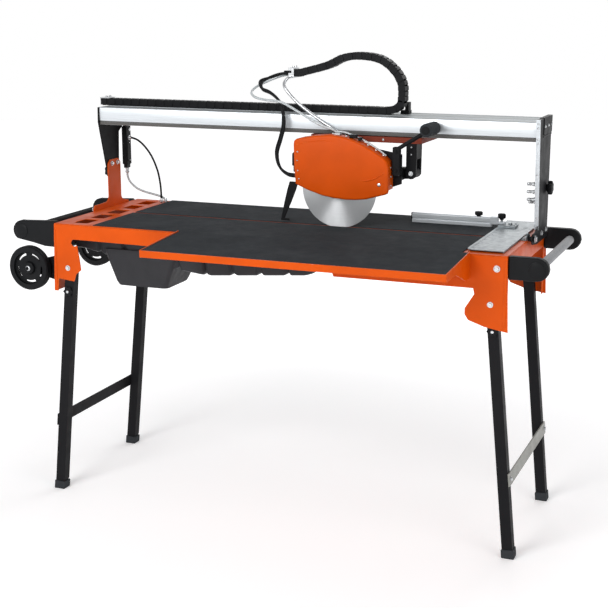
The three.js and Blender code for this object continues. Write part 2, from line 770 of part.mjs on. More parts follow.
function motor() {
  const y0 = HEAD_PLATE_Y[1] + GAP;
  const at = (y) => [BLADE_X, y0 + y, BLADE_Z];
  const along = (from, to, radius) => rod(at(from), at(to), radius, 28);
  const body = along(0, MOTOR_BODY, MOTOR_RADIUS);
  const cowl = along(MOTOR_BODY - 1, MOTOR_BODY + MOTOR_COWL, MOTOR_RADIUS - 4);
  const box = block([BLADE_X - 32, BLADE_X + 32], [y0 + 30, y0 + 110], [BLADE_Z + 30, BLADE_Z + 72]);
  const recessEnd = SPINDLE_END_Y + 2;
  const recess = rod([BLADE_X, y0 - 1, BLADE_Z], [BLADE_X, recessEnd, BLADE_Z], SHAFT_RADIUS + 2, 20);
  piece('motor', cut(joined(body, cowl, box), recess), 'black');
}

function bladeDisc() {
  const ring = [
    [SHAFT_RADIUS + GAP, -BLADE_THICK / 2],
    [BLADE_RADIUS, -BLADE_THICK / 2],
    [BLADE_RADIUS, BLADE_THICK / 2],
    [SHAFT_RADIUS + GAP, BLADE_THICK / 2],
    [SHAFT_RADIUS + GAP, -BLADE_THICK / 2],
  ];
  const disc = new THREE.LatheGeometry(ring.map(([r, h]) => new THREE.Vector2(r, h)), 72);
  piece('blade', disc, 'steel').position.set(BLADE_X, 0, BLADE_Z);
}

function bladeSpindle() {
  const flange = BLADE_THICK / 2 + GAP;
  const profile = [
    [0, -24],
    [9, -24],
    [9, -12],
    [FLANGE_RADIUS, -flange - 4],
    [FLANGE_RADIUS, -flange],
    [SHAFT_RADIUS, -flange],
    [SHAFT_RADIUS, flange],
    [FLANGE_RADIUS, flange],
    [FLANGE_RADIUS, flange + 4],
    [SHAFT_RADIUS, flange + 6],
    [SHAFT_RADIUS, SPINDLE_END_Y],
    [0, SPINDLE_END_Y],
  ];
  const spindle = new THREE.LatheGeometry(profile.map(([r, h]) => new THREE.Vector2(r, h)), 28);
  piece('blade_spindle', spindle, 'steel').position.set(BLADE_X, 0, BLADE_Z);
}

const LEVER_Y = -6;
const LEVER_GRIP = [440, 1253];
const LEVER_GRIP_Y = [-72, 28];
const LEVER_RADIUS = 6.5;
const GRIP_RADIUS = 20.5;

function headLever() {
  const [x, z] = LEVER_GRIP;
  const bar = rod([332, LEVER_Y, 1186], [x - 10, LEVER_Y, z - 6], LEVER_RADIUS, 12);
  const grip = rod([x, LEVER_GRIP_Y[0], z], [x, LEVER_GRIP_Y[1], z], GRIP_RADIUS, 20);
  const foot = block([318, 340], [LEVER_Y - 8, HEAD_PLATE_Y[0] - GAP], [1100, 1192]);
  piece('head_lever', joined(bar, grip, foot), 'black');
}

function splashFlap() {
  const flap = [
    [-8, 1062],
    [-30, 1062],
    [-62, 942],
    [-58, TABLE_TOP + 7],
    [-34, TABLE_TOP + 7],
    [-34, 944],
    [-8, 1040],
  ];
  piece('splash_flap', prismY(flap, -2.5, 2.5), 'rubber');
}

// ---- side fence ----
const FENCE_PIVOT = [631, 156];
const FENCE_BAR_X = [336, 604];
const FENCE_CLAMP_X = 556; // knob that clamps the bar along its length

function fence() {
  const [x, y] = FENCE_PIVOT;
  const z = SCALE_TOP + GAP;
  const bar = block(FENCE_BAR_X, [y - 8, y + 8], [TABLE_TOP + 2, TABLE_TOP + 33]);
  const tongue = block([FENCE_BAR_X[1] - 1, x + 14], [y - 8, y + 8], [z + 8 + GAP, z + 16]);
  const pinHole = rod([x, y, z], [x, y, z + 30], 4 + GAP, 12);
  piece('fence_bar', cut(joined(bar, tongue), pinHole), 'aluminium');
  const base = block([x - 7, x + 49], [y - 24, y + 24], [z, z + 8]);
  const pin = rod([x, y, z + 7], [x, y, z + 22], 4, 12);
  piece('fence_shoe', joined(base, pin), 'zinc');
  const pivotKnob = starKnob(13, 20).translate(x, y, z + 22 + GAP);
  piece('fence_pivot_knob', pivotKnob, 'black');
  const barKnob = starKnob(13, 16).translate(FENCE_CLAMP_X, y, TABLE_TOP + 33 + GAP);
  piece('fence_bar_knob', barKnob, 'black');
}

// ---- leads and hoses, by points chosen along each run ----
const HEAD_LEAD = [
  [HOLDER_CLAMP_X[0] - GAP, 130, 1402],
  [-98, 130, 1402],
  [-120, 128, 1399],
  [-144, 112, 1390],
  [-160, 76, 1374],
  [-142, 40, 1354],
  [-104, 24, 1342],
  [-74, 20, 1318],
  [-60, 19, 1280],
  [-58, 18, 1240],
  [-68, 18, 1200],
  [-82, 18, 1150],
  [-72, 18, 1106],
  [-44, 18, 1084],
  [-14, 18, 1080],
];
const WATER_HOSE = [
  [HOLDER_CLAMP_X[0] - GAP, 151, 1396],
  [-98, 151, 1396],
  [-124, 152, 1391],
  [-164, 146, 1376],
  [-198, 116, 1356],
  [-198, 76, 1340],
  [-170, 44, 1328],
  [-128, 26, 1322],
  [-96, 8, 1322],
  [-62, 4, 1318],
  [-20, 12, 1296],
  [30, 19, 1266],
  [80, 20, 1244],
  [108, 20, 1236],
  [120, 20, 1226],
  [122, 20, HOLDER_FOOT_TOP + 2 + GAP],
];
const PLUG_LEAD_RADIUS = 3.5;
const PLUG_LEAD = [
  [PLUG_BOX_X[1] + GAP, 200, 1160],
  [-718, 200, 1160],
  [-690, 203, 1149],
  [-656, 214, 1108],
  [-634, 226, 1050],
  [-626, 232, 1000],
  [-624, 234, 960],
  [-624, 234, DECK_TOP + GAP],
];

function leads() {
  piece('head_lead', tube(HEAD_LEAD, LEAD_RADIUS, 8, 30), 'black');
  piece('water_hose', tube(WATER_HOSE, HOSE_RADIUS, 8, 30), 'hose');
  piece('plug_lead', tube(PLUG_LEAD, PLUG_LEAD_RADIUS, 8, 20), 'black');
}

// ---- assembly ----
sidePanel('front_panel', -1);
sidePanel('rear_panel', 1);
endPanel('left_end_panel', -1);
endPanel('right_end_panel', 1);
tableDeck();
tableMats();
extensionPanel();
scalePlate();
waterTray();
waterPump();
handle('left', leftArmOutline(), LEFT_NOSE, HANDLE_TUBE_RADIUS, 'left_handle_tube', 'black');
handle('right', rightArmOutline(), RIGHT_NOSE, FOAM_RADIUS, 'right_handle_foam', 'foam');
wheelBracket('wheel_bracket_front', -1);
wheelBracket('wheel_bracket_rear', 1);
wheel('wheel_front', -1);
wheel('wheel_rear', 1);
legs('left', -1, 'black');
legs('right', 1, 'greyPaint');
beam();
leftArm();
rightArm();
clampKnob('left_arm_knob', -1, LEFT_PLATE_X[0] - GAP, 125, 1050);
clampKnob('right_arm_knob', 1, RIGHT_ARM_X[1] + GAP, 175, 1065);
cableChainRun();
plugBox();
carriagePlate();
hingeBracket();
cableChainLoop();
chainHolder();
bladeGuard();
headPlate();
motor();
bladeDisc();
bladeSpindle();
headLever();
splashFlap();
fence();
leads();

// the origin goes to the middle of the base; free leads don't count
machine.updateMatrixWorld(true);
const box = new THREE.Box3();
const free = ['head_lead', 'water_hose', 'plug_lead'];
machine.traverse((o) => {
  if (o.isMesh && !free.includes(o.name)) box.expandByObject(o, true);
});
const middle = box.getCenter(new THREE.Vector3());
machine.position.set(-middle.x, -middle.y, -box.min.z);

const whole = new THREE.Group();
whole.add(machine);
export default whole;
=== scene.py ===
"""Bridge tile cutter: the visible model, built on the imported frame.

Shapes are laid out in millimetres from three places that the frame gives: the middle of the table deck
in X, the plane of the blade in Y, and the floor in Z. at() turns them into metres in the frame.
"""

import math

import bmesh
import bpy
from mathutils import Matrix, Quaternion, Vector


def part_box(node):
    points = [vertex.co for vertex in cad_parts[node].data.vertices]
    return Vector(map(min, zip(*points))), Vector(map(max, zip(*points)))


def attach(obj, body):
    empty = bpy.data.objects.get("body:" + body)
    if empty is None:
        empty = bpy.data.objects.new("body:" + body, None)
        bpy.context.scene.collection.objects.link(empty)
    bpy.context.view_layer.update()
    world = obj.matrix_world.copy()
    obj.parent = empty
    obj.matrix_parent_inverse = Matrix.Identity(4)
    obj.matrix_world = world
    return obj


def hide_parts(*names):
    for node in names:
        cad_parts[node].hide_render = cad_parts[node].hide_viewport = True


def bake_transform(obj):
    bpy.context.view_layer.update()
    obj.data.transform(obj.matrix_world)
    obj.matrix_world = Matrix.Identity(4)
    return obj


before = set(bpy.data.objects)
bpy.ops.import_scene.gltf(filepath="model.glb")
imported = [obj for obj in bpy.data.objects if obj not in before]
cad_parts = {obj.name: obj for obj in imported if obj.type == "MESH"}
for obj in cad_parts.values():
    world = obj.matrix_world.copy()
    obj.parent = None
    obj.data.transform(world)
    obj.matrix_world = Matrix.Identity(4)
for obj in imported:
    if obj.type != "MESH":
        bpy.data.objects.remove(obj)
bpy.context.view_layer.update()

MM = 0.001
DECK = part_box("table_deck")
CUT_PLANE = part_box("blade")
MID_X = (DECK[0].x + DECK[1].x) / 2
CUT_Y = (CUT_PLANE[0].y + CUT_PLANE[1].y) / 2
UP = Vector((0, 0, 1))
LEFT, RIGHT = Vector((-1, 0, 0)), Vector((1, 0, 0))
FRONT, REAR = Vector((0, -1, 0)), Vector((0, 1, 0))

TABLE_TOP = 931
DECK_TOP = 928
FRONT_Y, REAR_Y, DECK_REAR_Y = -277, 277, 287
END_X = 750
BEAM_X = (-754.3, 752.7)
BEAM_Z = (1219, 1278)
BEAM_Y = (46, 234)
HEAD_X = 138  # the blade's middle
BLADE_Z = 1051
BLADE_RADIUS = 125
GUARD_FRONT = -40
CHAIN_Y = (120, 160)


def at(x, y, z):
    """Millimetres from the three places above, as a point in the frame."""
    return Vector((MID_X + x * MM, CUT_Y + y * MM, z * MM))


# ---- mesh helpers ----
def loft(bm, rings, caps=True):
    """Quads between rings of the same number of points, with a face on each end."""
    rows = [[bm.verts.new(p) for p in ring] for ring in rings]
    count = len(rows[0])
    for low, high in zip(rows, rows[1:]):
        for i in range(count):
            j = (i + 1) % count
            bm.faces.new((low[i], low[j], high[j], high[i]))
    if caps:
        bm.faces.new(reversed(rows[0]))
        bm.faces.new(rows[-1])
    return rows


def prism(bm, outline, low, high, axis):
    """The outline's numbers are the two axes other than the given one, in the order x, y, z."""
    order = {"x": lambda a, b, c: at(c, a, b), "y": lambda a, b, c: at(a, c, b), "z": at}[axis]
    return loft(bm, [[order(a, b, c) for a, b in outline] for c in (low, high)])


def box(bm, x, y, z):
    corners = [(x[0], y[0]), (x[1], y[0]), (x[1], y[1]), (x[0], y[1])]
    return prism(bm, corners, z[0], z[1], "z")


def circle(centre, direction, radius, count, lobes=0, depth=0.0):
    turn = UP.rotation_difference(direction)
    points = []
    for i in range(count):
        angle = 2 * math.pi * i / count
        r = radius * (1 - depth * (1 - math.cos(lobes * angle)) / 2) * MM
        points.append(centre + turn @ Vector((r * math.cos(angle), r * math.sin(angle), 0)))
    return points


def lathe(bm, profile, centre, direction, count=32, lobes=0, depth=0.0):
    """Rings at (radius, height) pairs along the direction; both ends are closed."""
    rings = [
        circle(centre + direction * height * MM, direction, max(radius, 0.2), count, lobes, depth)
        for radius, height in profile
    ]
    loft(bm, rings)


def spline(points, steps):
    """Points on a centripetal Catmull-Rom curve, evenly spaced in its parameter."""
    ends = [points[0] * 2 - points[1], *points, points[-1] * 2 - points[-2]]
    out = []
    for k in range(steps + 1):
        s = k / steps * (len(points) - 1)
        i = min(int(s), len(points) - 2)
        p = ends[i : i + 4]
        t = [0.0]
        for a, b in zip(p, p[1:]):
            t.append(t[-1] + max((b - a).length, 1e-9) ** 0.5)
        u = t[1] + (t[2] - t[1]) * (s - i)
        a1, a2, a3 = (
            (p[j] * (t[j + 1] - u) + p[j + 1] * (u - t[j])) / (t[j + 1] - t[j]) for j in range(3)
        )
        b1 = (a1 * (t[2] - u) + a2 * (u - t[0])) / (t[2] - t[0])
        b2 = (a2 * (t[3] - u) + a3 * (u - t[1])) / (t[3] - t[1])
        out.append((b1 * (t[2] - u) + b2 * (u - t[1])) / (t[2] - t[1]))
    return out


def sweep(bm, path, radius, count=12):
    """A closed round tube along a list of points; radius is a number or one per point."""
    radii = radius if isinstance(radius, list) else [radius] * len(path)
    turn, before = None, None
    rings = []
    for i, point in enumerate(path):
        way = (path[min(i + 1, len(path) - 1)] - path[max(i - 1, 0)]).normalized()
        step = UP.rotation_difference(way) if turn is None else before.rotation_difference(way) @ turn
        turn, before = step, way
        ring = []
        for k in range(count):
            angle = 2 * math.pi * k / count
            ring.append(point + turn @ Vector((math.cos(angle), math.sin(angle), 0)) * radii[i] * MM)
        rings.append(ring)
    loft(bm, rings)


def bolt(bm, centre, direction, radius=6.5, height=5, washer=True):
    """A hexagon head, with its washer under it."""
    if washer:
        lathe(bm, [(radius * 1.35, 0), (radius * 1.4, 0.6), (radius * 1.35, 1.2)], centre, direction, 24)
    start = centre + direction * (1.2 * MM if washer else 0)
    lathe(bm, [(radius, 0), (radius, height - 0.8), (radius * 0.88, height)], start, direction, 6)


def screw(bm, centre, direction, radius=4):
    """A domed head with a socket."""
    profile = [(radius, 0), (radius, 1), (radius * 0.85, 2.2), (radius * 0.5, 2.8), (radius * 0.45, 1.2)]
    lathe(bm, profile, centre, direction, 16)


def star_knob(bm, centre, direction, radius, height):
    """A six-lobed knob on a short neck, with a domed top."""
    neck = [(radius * 0.5, 0), (radius * 0.52, height * 0.22)]
    lathe(bm, neck, centre, direction, 24)
    body = [(0.78, 0.2), (0.94, 0.28), (1.0, 0.42), (1.0, 0.75), (0.94, 0.9), (0.8, 0.97), (0.35, 1.0)]
    profile = [(radius * r, height * h) for r, h in body]
    lathe(bm, profile, centre, direction, 72, lobes=6, depth=0.22)


def soften(obj, width, angle=32):
    """Rounds the hard edges and evens the shading."""
    if width:
        bevel = obj.modifiers.new("edges", "BEVEL")
        bevel.width = width * MM
        bevel.segments = 2
        bevel.limit_method = "ANGLE"
        bevel.angle_limit = math.radians(angle)
        bevel.use_clamp_overlap = True
        even = obj.modifiers.new("shading", "WEIGHTED_NORMAL")
        even.keep_sharp = True
    else:
        obj.data.set_sharp_from_angle(angle=math.radians(angle))


def piece(name, build, slot, body=None, edge=0.8, stands_for=()):
    """Makes one named piece from a function that fills a bmesh."""
    bm = bmesh.new()
    build(bm)
    bmesh.ops.recalc_face_normals(bm, faces=bm.faces)
    mesh = bpy.data.meshes.new(name)
    bm.to_mesh(mesh)
    bm.free()
    obj = bpy.data.objects.new(name, mesh)
    bpy.context.scene.collection.objects.link(obj)
    for polygon in mesh.polygons:
        polygon.use_smooth = True
    mesh.materials.append(MATERIALS[slot])
    soften(obj, edge)
    if body:
        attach(obj, body)
    if stands_for:
        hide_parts(*stands_for)
    return obj


def carry_over(slot, edge, *nodes):
    """Gives CAD nodes that keep their shape a finish and rounded edges."""
    for name in nodes:
        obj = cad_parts[name]
        for material_slot in obj.material_slots:
            material_slot.material = MATERIALS[slot]
        for polygon in obj.data.polygons:
            polygon.use_smooth = True
        weld = obj.modifiers.new("weld", "WELD")
        weld.merge_threshold = 0.02 * MM
        flat = obj.modifiers.new("flat", "DECIMATE")
        flat.decimate_type = "DISSOLVE"
        flat.angle_limit = math.radians(0.5)
        soften(obj, edge)


# ---- materials ----
def linear(red, green, blue):
    """A display colour, 0 to 255, as the linear numbers that a shader takes."""
    shares = [c / 255 for c in (red, green, blue)]
    return (*(c / 12.92 if c <= 10 / 255 else ((c + 0.055) / 1.055) ** 2.4 for c in shares), 1)


class Surface:
    """A principled material with a few helpers to join its nodes."""

    def __init__(self, name, stretch=(1, 1, 1)):
        self.material = bpy.data.materials.new(name)
        self.material.use_nodes = True
        self.tree = self.material.node_tree
        self.shader = self.tree.nodes["Principled BSDF"]
        coordinates = self.tree.nodes.new("ShaderNodeTexCoord")
        mapping = self.tree.nodes.new("ShaderNodeMapping")
        mapping.inputs["Scale"].default_value = stretch
        self.join(coordinates.outputs["Object"], mapping.inputs["Vector"])
        self.place = mapping.outputs["Vector"]

    def join(self, output, socket):
        self.tree.links.new(output, socket)

    def set(self, **values):
        for name, value in values.items():
            self.shader.inputs[name.replace("_", " ")].default_value = value

    def node(self, kind, **values):
        node = self.tree.nodes.new(kind)
        for name, value in values.items():
            node.inputs[name.replace("_", " ")].default_value = value
        return node

    def noise(self, scale, detail=3.0, rough=0.55):
        node = self.node("ShaderNodeTexNoise", Scale=scale, Detail=detail, Roughness=rough)
        self.join(self.place, node.inputs["Vector"])
        return node.outputs["Fac"]

    def cells(self, scale, output="Distance"):
        node = self.node("ShaderNodeTexVoronoi", Scale=scale)
        self.join(self.place, node.inputs["Vector"])
        return node.outputs[output]

    def span(self, value, low, high, start=0.0, end=1.0):
        """Takes value from low..high to start..end, and stops there."""
        node = self.node("ShaderNodeMapRange", From_Min=low, From_Max=high, To_Min=start, To_Max=end)
        self.join(value, node.inputs["Value"])
        return node.outputs["Result"]

    def math(self, operation, a, b):
        node = self.tree.nodes.new("ShaderNodeMath")
        node.operation = operation
        for value, socket in ((a, node.inputs[0]), (b, node.inputs[1])):
            if isinstance(value, (int, float)):
                socket.default_value = value
            else:
                self.join(value, socket)
        return node.outputs["Value"]

    def mix(self, factor, a, b):
        node = self.tree.nodes.new("ShaderNodeMix")
        node.data_type = "RGBA"
        self.join(factor, node.inputs["Factor"])
        sockets = [s for s in node.inputs if s.type == "RGBA"]
        for value, socket in zip((a, b), sockets):
            if isinstance(value, tuple):
                socket.default_value = value
            else:
                self.join(value, socket)
        return next(s for s in node.outputs if s.type == "RGBA")

    def edge_mask(self, radius, breakup):
        """1 where an edge is worn, from how far the rounded normal turns, broken up by noise."""
        rounded = self.node("ShaderNodeBevel", Radius=radius * MM)
        rounded.samples = 4
        geometry = self.tree.nodes.new("ShaderNodeNewGeometry")
        dot = self.tree.nodes.new("ShaderNodeVectorMath")
        dot.operation = "DOT_PRODUCT"
        self.join(rounded.outputs["Normal"], dot.inputs[0])
        self.join(geometry.outputs["Normal"], dot.inputs[1])
        turned = self.span(dot.outputs["Value"], 0.97, 0.8)
        return self.math("MULTIPLY", turned, self.span(self.noise(breakup, 5), 0.5, 0.62))

    def bump(self, height, strength, distance):
        node = self.node("ShaderNodeBump", Strength=strength, Distance=distance * MM)
        self.join(height, node.inputs["Height"])
        self.join(node.outputs["Normal"], self.shader.inputs["Normal"])

    def colour(self, output):
        self.join(output, self.shader.inputs["Base Color"])

    def roughness(self, output):
        self.join(output, self.shader.inputs["Roughness"])


def paint(name, colour, worn, rough=(0.32, 0.48), wear=0.6, gloss=0.35):
    """Powder coat: orange peel, faint patches, scuffs that catch the light and edges rubbed paler."""
    s = Surface(name)
    s.set(Metallic=0.0, Specular_IOR_Level=gloss)
    dark = tuple(c * 0.86 for c in colour[:3]) + (1,)
    base = s.mix(s.span(s.noise(7, 4), 0.35, 0.65), dark, colour)
    scuffs = s.span(s.noise(160, 6, 0.7), 0.66, 0.74)
    scuffed = s.mix(s.math("MULTIPLY", scuffs, 0.22), base, worn)
    edges = s.math("MULTIPLY", s.edge_mask(1.6, 90), wear)
    s.colour(s.mix(edges, scuffed, worn))
    s.roughness(s.math("ADD", s.span(s.noise(24, 5), 0.3, 0.7, *rough), s.math("MULTIPLY", scuffs, 0.18)))
    s.bump(s.noise(1100, 2), 0.12, 0.25)
    return s.material


def moulding(name, colour, grain=1600, rough=(0.42, 0.6), bump=0.3, dust=None, gloss=0.3):
    """Moulded plastic or rubber: fine texture, with dust lying in patches."""
    s = Surface(name)
    s.set(Metallic=0.0, Specular_IOR_Level=gloss)
    dark = tuple(c * 0.8 for c in colour[:3]) + (1,)
    base = s.mix(s.span(s.noise(11, 5), 0.3, 0.7), dark, colour)
    if dust:
        film = s.math("MULTIPLY", s.span(s.noise(5, 7, 0.65), 0.48, 0.72), 0.35)
        specks = s.math("MULTIPLY", s.span(s.noise(420, 3), 0.66, 0.72), 0.5)
        base = s.mix(s.math("MAXIMUM", film, specks), base, dust)
    s.colour(base)
    s.roughness(s.span(s.noise(30, 4), 0.3, 0.7, *rough))
    s.bump(s.noise(grain, 3), bump, 0.3)
    return s.material


def brushed(name, colour, stretch, rough=(0.25, 0.4), metal=0.9, along=0.5):
    """Drawn or brushed metal: fine lines along one way, with soft stains."""
    s = Surface(name, stretch)
    s.set(Metallic=metal, Anisotropic=along)
    dark = tuple(c * 0.8 for c in colour[:3]) + (1,)
    lines = s.noise(420, 4, 0.7)
    s.colour(s.mix(s.span(lines, 0.25, 0.75), dark, colour))
    s.roughness(s.span(s.noise(60, 5), 0.3, 0.7, *rough))
    s.bump(lines, 0.08, 0.2)
    return s.material


def galvanised(name, colour):
    """Zinc: spangles of slightly different greys with a dull film."""
    s = Surface(name)
    s.set(Metallic=0.75)
    dark = tuple(c * 0.7 for c in colour[:3]) + (1,)
    grey = s.node("ShaderNodeSeparateColor")
    s.join(s.cells(130, "Color"), grey.inputs["Color"])
    s.colour(s.mix(s.span(grey.outputs["Red"], 0.0, 1.0), dark, colour))
    s.roughness(s.span(s.noise(50, 5), 0.3, 0.7, 0.28, 0.5))
    s.bump(s.noise(300, 4), 0.12, 0.3)
    return s.material


def foam_skin(name, colour):
    """Closed-cell foam: small dimples all over."""
    s = Surface(name)
    s.set(Metallic=0.0, Sheen_Weight=0.3, Sheen_Roughness=0.6)
    dark = tuple(c * 0.7 for c in colour[:3]) + (1,)
    s.colour(s.mix(s.span(s.cells(420), 0.0, 0.6), dark, colour))
    s.roughness(s.span(s.noise(60, 3), 0.3, 0.7, 0.8, 0.95))
    s.bump(s.cells(420), 0.5, 0.6)
    return s.material


def clear_tube(name, colour):
    """Cloudy flexible hose."""
    s = Surface(name)
    s.set(Metallic=0.0, Transmission_Weight=0.25, IOR=1.42, Coat_Weight=0.4)
    dark = tuple(c * 0.75 for c in colour[:3]) + (1,)
    s.colour(s.mix(s.span(s.noise(90, 4), 0.3, 0.7), dark, colour))
    s.roughness(s.span(s.noise(60, 3), 0.3, 0.7, 0.18, 0.34))
    s.bump(s.noise(500, 2), 0.1, 0.2)
    return s.material


def turned_steel(name, colour):
    """A ground saw disc: rings round its middle, brightest in two fans that face the light."""
    s = Surface(name)
    s.set(Metallic=0.95, Anisotropic=0.9, Anisotropic_Rotation=0.25)
    tangent = s.tree.nodes.new("ShaderNodeTangent")
    tangent.direction_type = "RADIAL"
    tangent.axis = "Y"
    s.join(tangent.outputs["Tangent"], s.shader.inputs["Tangent"])
    apart = s.node("ShaderNodeSeparateXYZ")
    s.join(s.place, apart.inputs["Vector"])
    squares = [s.math("POWER", apart.outputs[axis], 2) for axis in "XZ"]
    out = s.math("POWER", s.math("ADD", *squares), 0.5)
    rings = s.node("ShaderNodeTexNoise", Scale=900, Detail=3)
    rings.noise_dimensions = "1D"
    s.join(out, rings.inputs["W"])
    dark = tuple(c * 0.72 for c in colour[:3]) + (1,)
    s.colour(s.mix(s.span(rings.outputs["Fac"], 0.3, 0.7), dark, colour))
    s.roughness(s.span(s.noise(40, 4), 0.3, 0.7, 0.28, 0.36))
    s.bump(rings.outputs["Fac"], 0.08, 0.1)
    return s.material


def make_materials():
    pale_orange = linear(250, 176, 110)
    bare = linear(150, 150, 152)
    return {
        "orange_paint": paint("orange_paint", linear(203, 76, 0), pale_orange, gloss=0.13),
        "black_paint": paint("black_paint", linear(27, 27, 29), bare, (0.4, 0.58), 0.3, 0.07),
        "grey_paint": paint("grey_paint", linear(136, 136, 130), linear(180, 180, 178)),
        # painted shade: a dark red-brown for the carriage plate, which lies in shadow under the beam; the
        # scuffs and rubbed edges on it are wear
        "red_primer": paint("red_primer", linear(118, 46, 28), linear(170, 100, 74), (0.5, 0.7), 0.4, 0.2),
        "black_plastic": moulding("black_plastic", linear(20, 21, 23), gloss=0.13),
        "tray_plastic": moulding("tray_plastic", linear(46, 46, 49), 1300, (0.45, 0.65), 0.35, gloss=0.2),
        "rubber": moulding("rubber", linear(48, 51, 54), 2200, (0.75, 0.9), 0.5, linear(70, 71, 74), 0.15),
        "foam": foam_skin("foam", linear(112, 114, 118)),
        "aluminium": brushed("aluminium", linear(214, 219, 223), (0.02, 1, 1), (0.3, 0.42), 0.6),
        "zinc": galvanised("zinc", linear(146, 152, 155)),
        "steel": brushed("steel", linear(214, 216, 218), (1, 1, 1), (0.2, 0.34), 0.9, 0.0),
        "clear_hose": clear_tube("clear_hose", linear(206, 212, 214)),
        "blade_steel": turned_steel("blade_steel", linear(205, 207, 209)),
        # painted shade: a darker aluminium for the strips over the beam's top
        "painted_shade_aluminium": brushed("painted_shade_aluminium", linear(150, 155, 156), (0.02, 1, 1), (0.4, 0.55), 0.5),
        "rail": brushed("rail", linear(92, 90, 88), (0.02, 1, 1), (0.4, 0.55), 0.5),
    }


# ---- camera, light and floor ----
def make_camera():
    eye, target = at(1542.0, -3858.7, 1651.1), at(12.4, 0, 662.6)
    data = bpy.data.cameras.new("camera")
    data.sensor_width = 36
    data.lens = 76.8
    data.shift_x = 0.0024
    camera = bpy.data.objects.new("camera", data)
    camera.location = eye
    camera.rotation_euler = (target - eye).to_track_quat("-Z", "Y").to_euler()
    bpy.context.scene.collection.objects.link(camera)
    bpy.context.scene.camera = camera


def soft_light(name, place, size, power):
    data = bpy.data.lights.new(name, "AREA")
    data.shape = "DISK"
    data.size = size
    data.energy = power
    light = bpy.data.objects.new(name, data)
    light.location = place
    light.rotation_euler = (at(0, 0, 900) - place).to_track_quat("-Z", "Y").to_euler()
    bpy.context.scene.collection.objects.link(light)


def make_sky():
    """A studio dome: bright round the horizon, where the paper sweep is, and dimmer overhead."""
    world = bpy.data.worlds.new("studio")
    world.use_nodes = True
    nodes, links = world.node_tree.nodes, world.node_tree.links
    background = nodes["Background"]
    background.inputs["Strength"].default_value = 1.0
    coordinates = nodes.new("ShaderNodeTexCoord")
    apart = nodes.new("ShaderNodeSeparateXYZ")
    ramp = nodes.new("ShaderNodeValToRGB")
    links.new(coordinates.outputs["Generated"], apart.inputs["Vector"])
    links.new(apart.outputs["Z"], ramp.inputs["Fac"])
    links.new(ramp.outputs["Color"], background.inputs["Color"])
    ramp.color_ramp.elements[0].position = 0.0
    ramp.color_ramp.elements[0].color = (1, 1, 1, 1)
    ramp.color_ramp.elements[1].position = 0.55
    ramp.color_ramp.elements[1].color = (0.42, 0.42, 0.43, 1)
    level = ramp.color_ramp.elements.new(0.2)
    level.color = (1, 1, 1, 1)
    bpy.context.scene.world = world


def make_studio():
    make_sky()
    bpy.context.scene.view_settings.view_transform = "Standard"
    soft_light("key", at(-1000, -3600, 2900), 2.2, 95)
    soft_light("fill", at(3400, -2200, 1900), 2.6, 26)
    soft_light("back", at(400, 3400, 3200), 3.0, 40)
    bm = bmesh.new()
    bmesh.ops.create_circle(bm, cap_ends=True, segments=96, radius=14)
    mesh = bpy.data.meshes.new("floor")
    bm.to_mesh(mesh)
    bm.free()
    floor = bpy.data.objects.new("floor", mesh)
    bpy.context.scene.collection.objects.link(floor)
    s = Surface("floor")
    s.set(Metallic=0.0, Roughness=0.85)
    s.shader.inputs["Emission Color"].default_value = (1, 1, 1, 1)
    far = s.node("ShaderNodeVectorMath")
    far.operation = "LENGTH"
    s.join(s.place, far.inputs[0])
    s.join(s.span(far.outputs["Value"], 0.9, 3.2, 0.16, 0.6), s.shader.inputs["Emission Strength"])
    s.colour(s.mix(s.noise(2), linear(250, 250, 250), linear(253, 253, 253)))
    mesh.materials.append(s.material)


make_camera()
MATERIALS = make_materials()
make_studio()


# ---- leads and hoses ----
HEAD_LEAD = [
    (-84.3, 130, 1402), (-98, 130, 1402), (-120, 128, 1399), (-144, 112, 1390), (-160, 76, 1374),
    (-142, 40, 1354), (-104, 24, 1342), (-74, 20, 1318), (-60, 19, 1280), (-58, 18, 1240),
    (-68, 18, 1200), (-82, 18, 1150), (-72, 18, 1106), (-44, 18, 1084), (-14, 18, 1080),
]
WATER_HOSE = [
    (-84.3, 151, 1396), (-98, 151, 1396), (-124, 152, 1391), (-164, 146, 1376), (-198, 116, 1356),
    (-198, 76, 1340), (-170, 44, 1328), (-128, 26, 1322), (-96, 8, 1322), (-62, 4, 1318),
    (-20, 12, 1296), (30, 19, 1266), (80, 20, 1244), (108, 20, 1236), (120, 20, 1226), (122, 20, 1213.3),
]
PLUG_LEAD = [
    (-729.7, 200, 1160), (-718, 200, 1160), (-690, 203, 1149), (-656, 214, 1108),
    (-634, 226, 1050), (-626, 232, 1000), (-624, 234, 960), (-624, 234, 928.3),
]


def path_length(path):
    return sum((b - a).length for a, b in zip(path, path[1:]))


def lead(name, points, radius, slot, body, stands_for, blends=None):
    """A free lead or hose on the given body; with blends, it rides on no body and keeps the shape it is drawn
    in.
    """
    path = spline([at(*p) for p in points], 110)
    obj = piece(name, lambda bm: sweep(bm, path, radius, 14), slot, None if blends else body, 0, stands_for)
    if blends:
        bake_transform(obj)
    return obj


lead("head_cable", HEAD_LEAD, 4.5, "black_plastic", None, ["head_lead"], ("carriage", "saw_head"))
lead("water_line", WATER_HOSE, 4, "clear_hose", "carriage", ["water_hose"])
lead("box_lead", PLUG_LEAD, 3.5, "black_plastic", None, ["plug_lead"], ("bridge", "frame"))
# a second lead runs beside the first, and a feed hose beside the box's lead
SWITCH_LEAD = [
    *[(x, y + 10, z - 1) for x, y, z in HEAD_LEAD[:4]],
    *[(x - 9, y + 9, z + 5) for x, y, z in HEAD_LEAD[4:]],
]
FEED_HOSE = [
    (-740, 201, 1034), (-740, 202, 1024), (-734, 206, 1004), (-712, 214, 980), (-684, 224, 966),
    (-650, 236, 956), (-622, 244, 946), (-614, 247, 936), (-613, 247, 929),
]
lead("switch_lead", SWITCH_LEAD, 4, "black_plastic", None, [], ("carriage", "saw_head"))
lead("feed_hose", FEED_HOSE, 4, "clear_hose", None, [], ("bridge", "frame"))


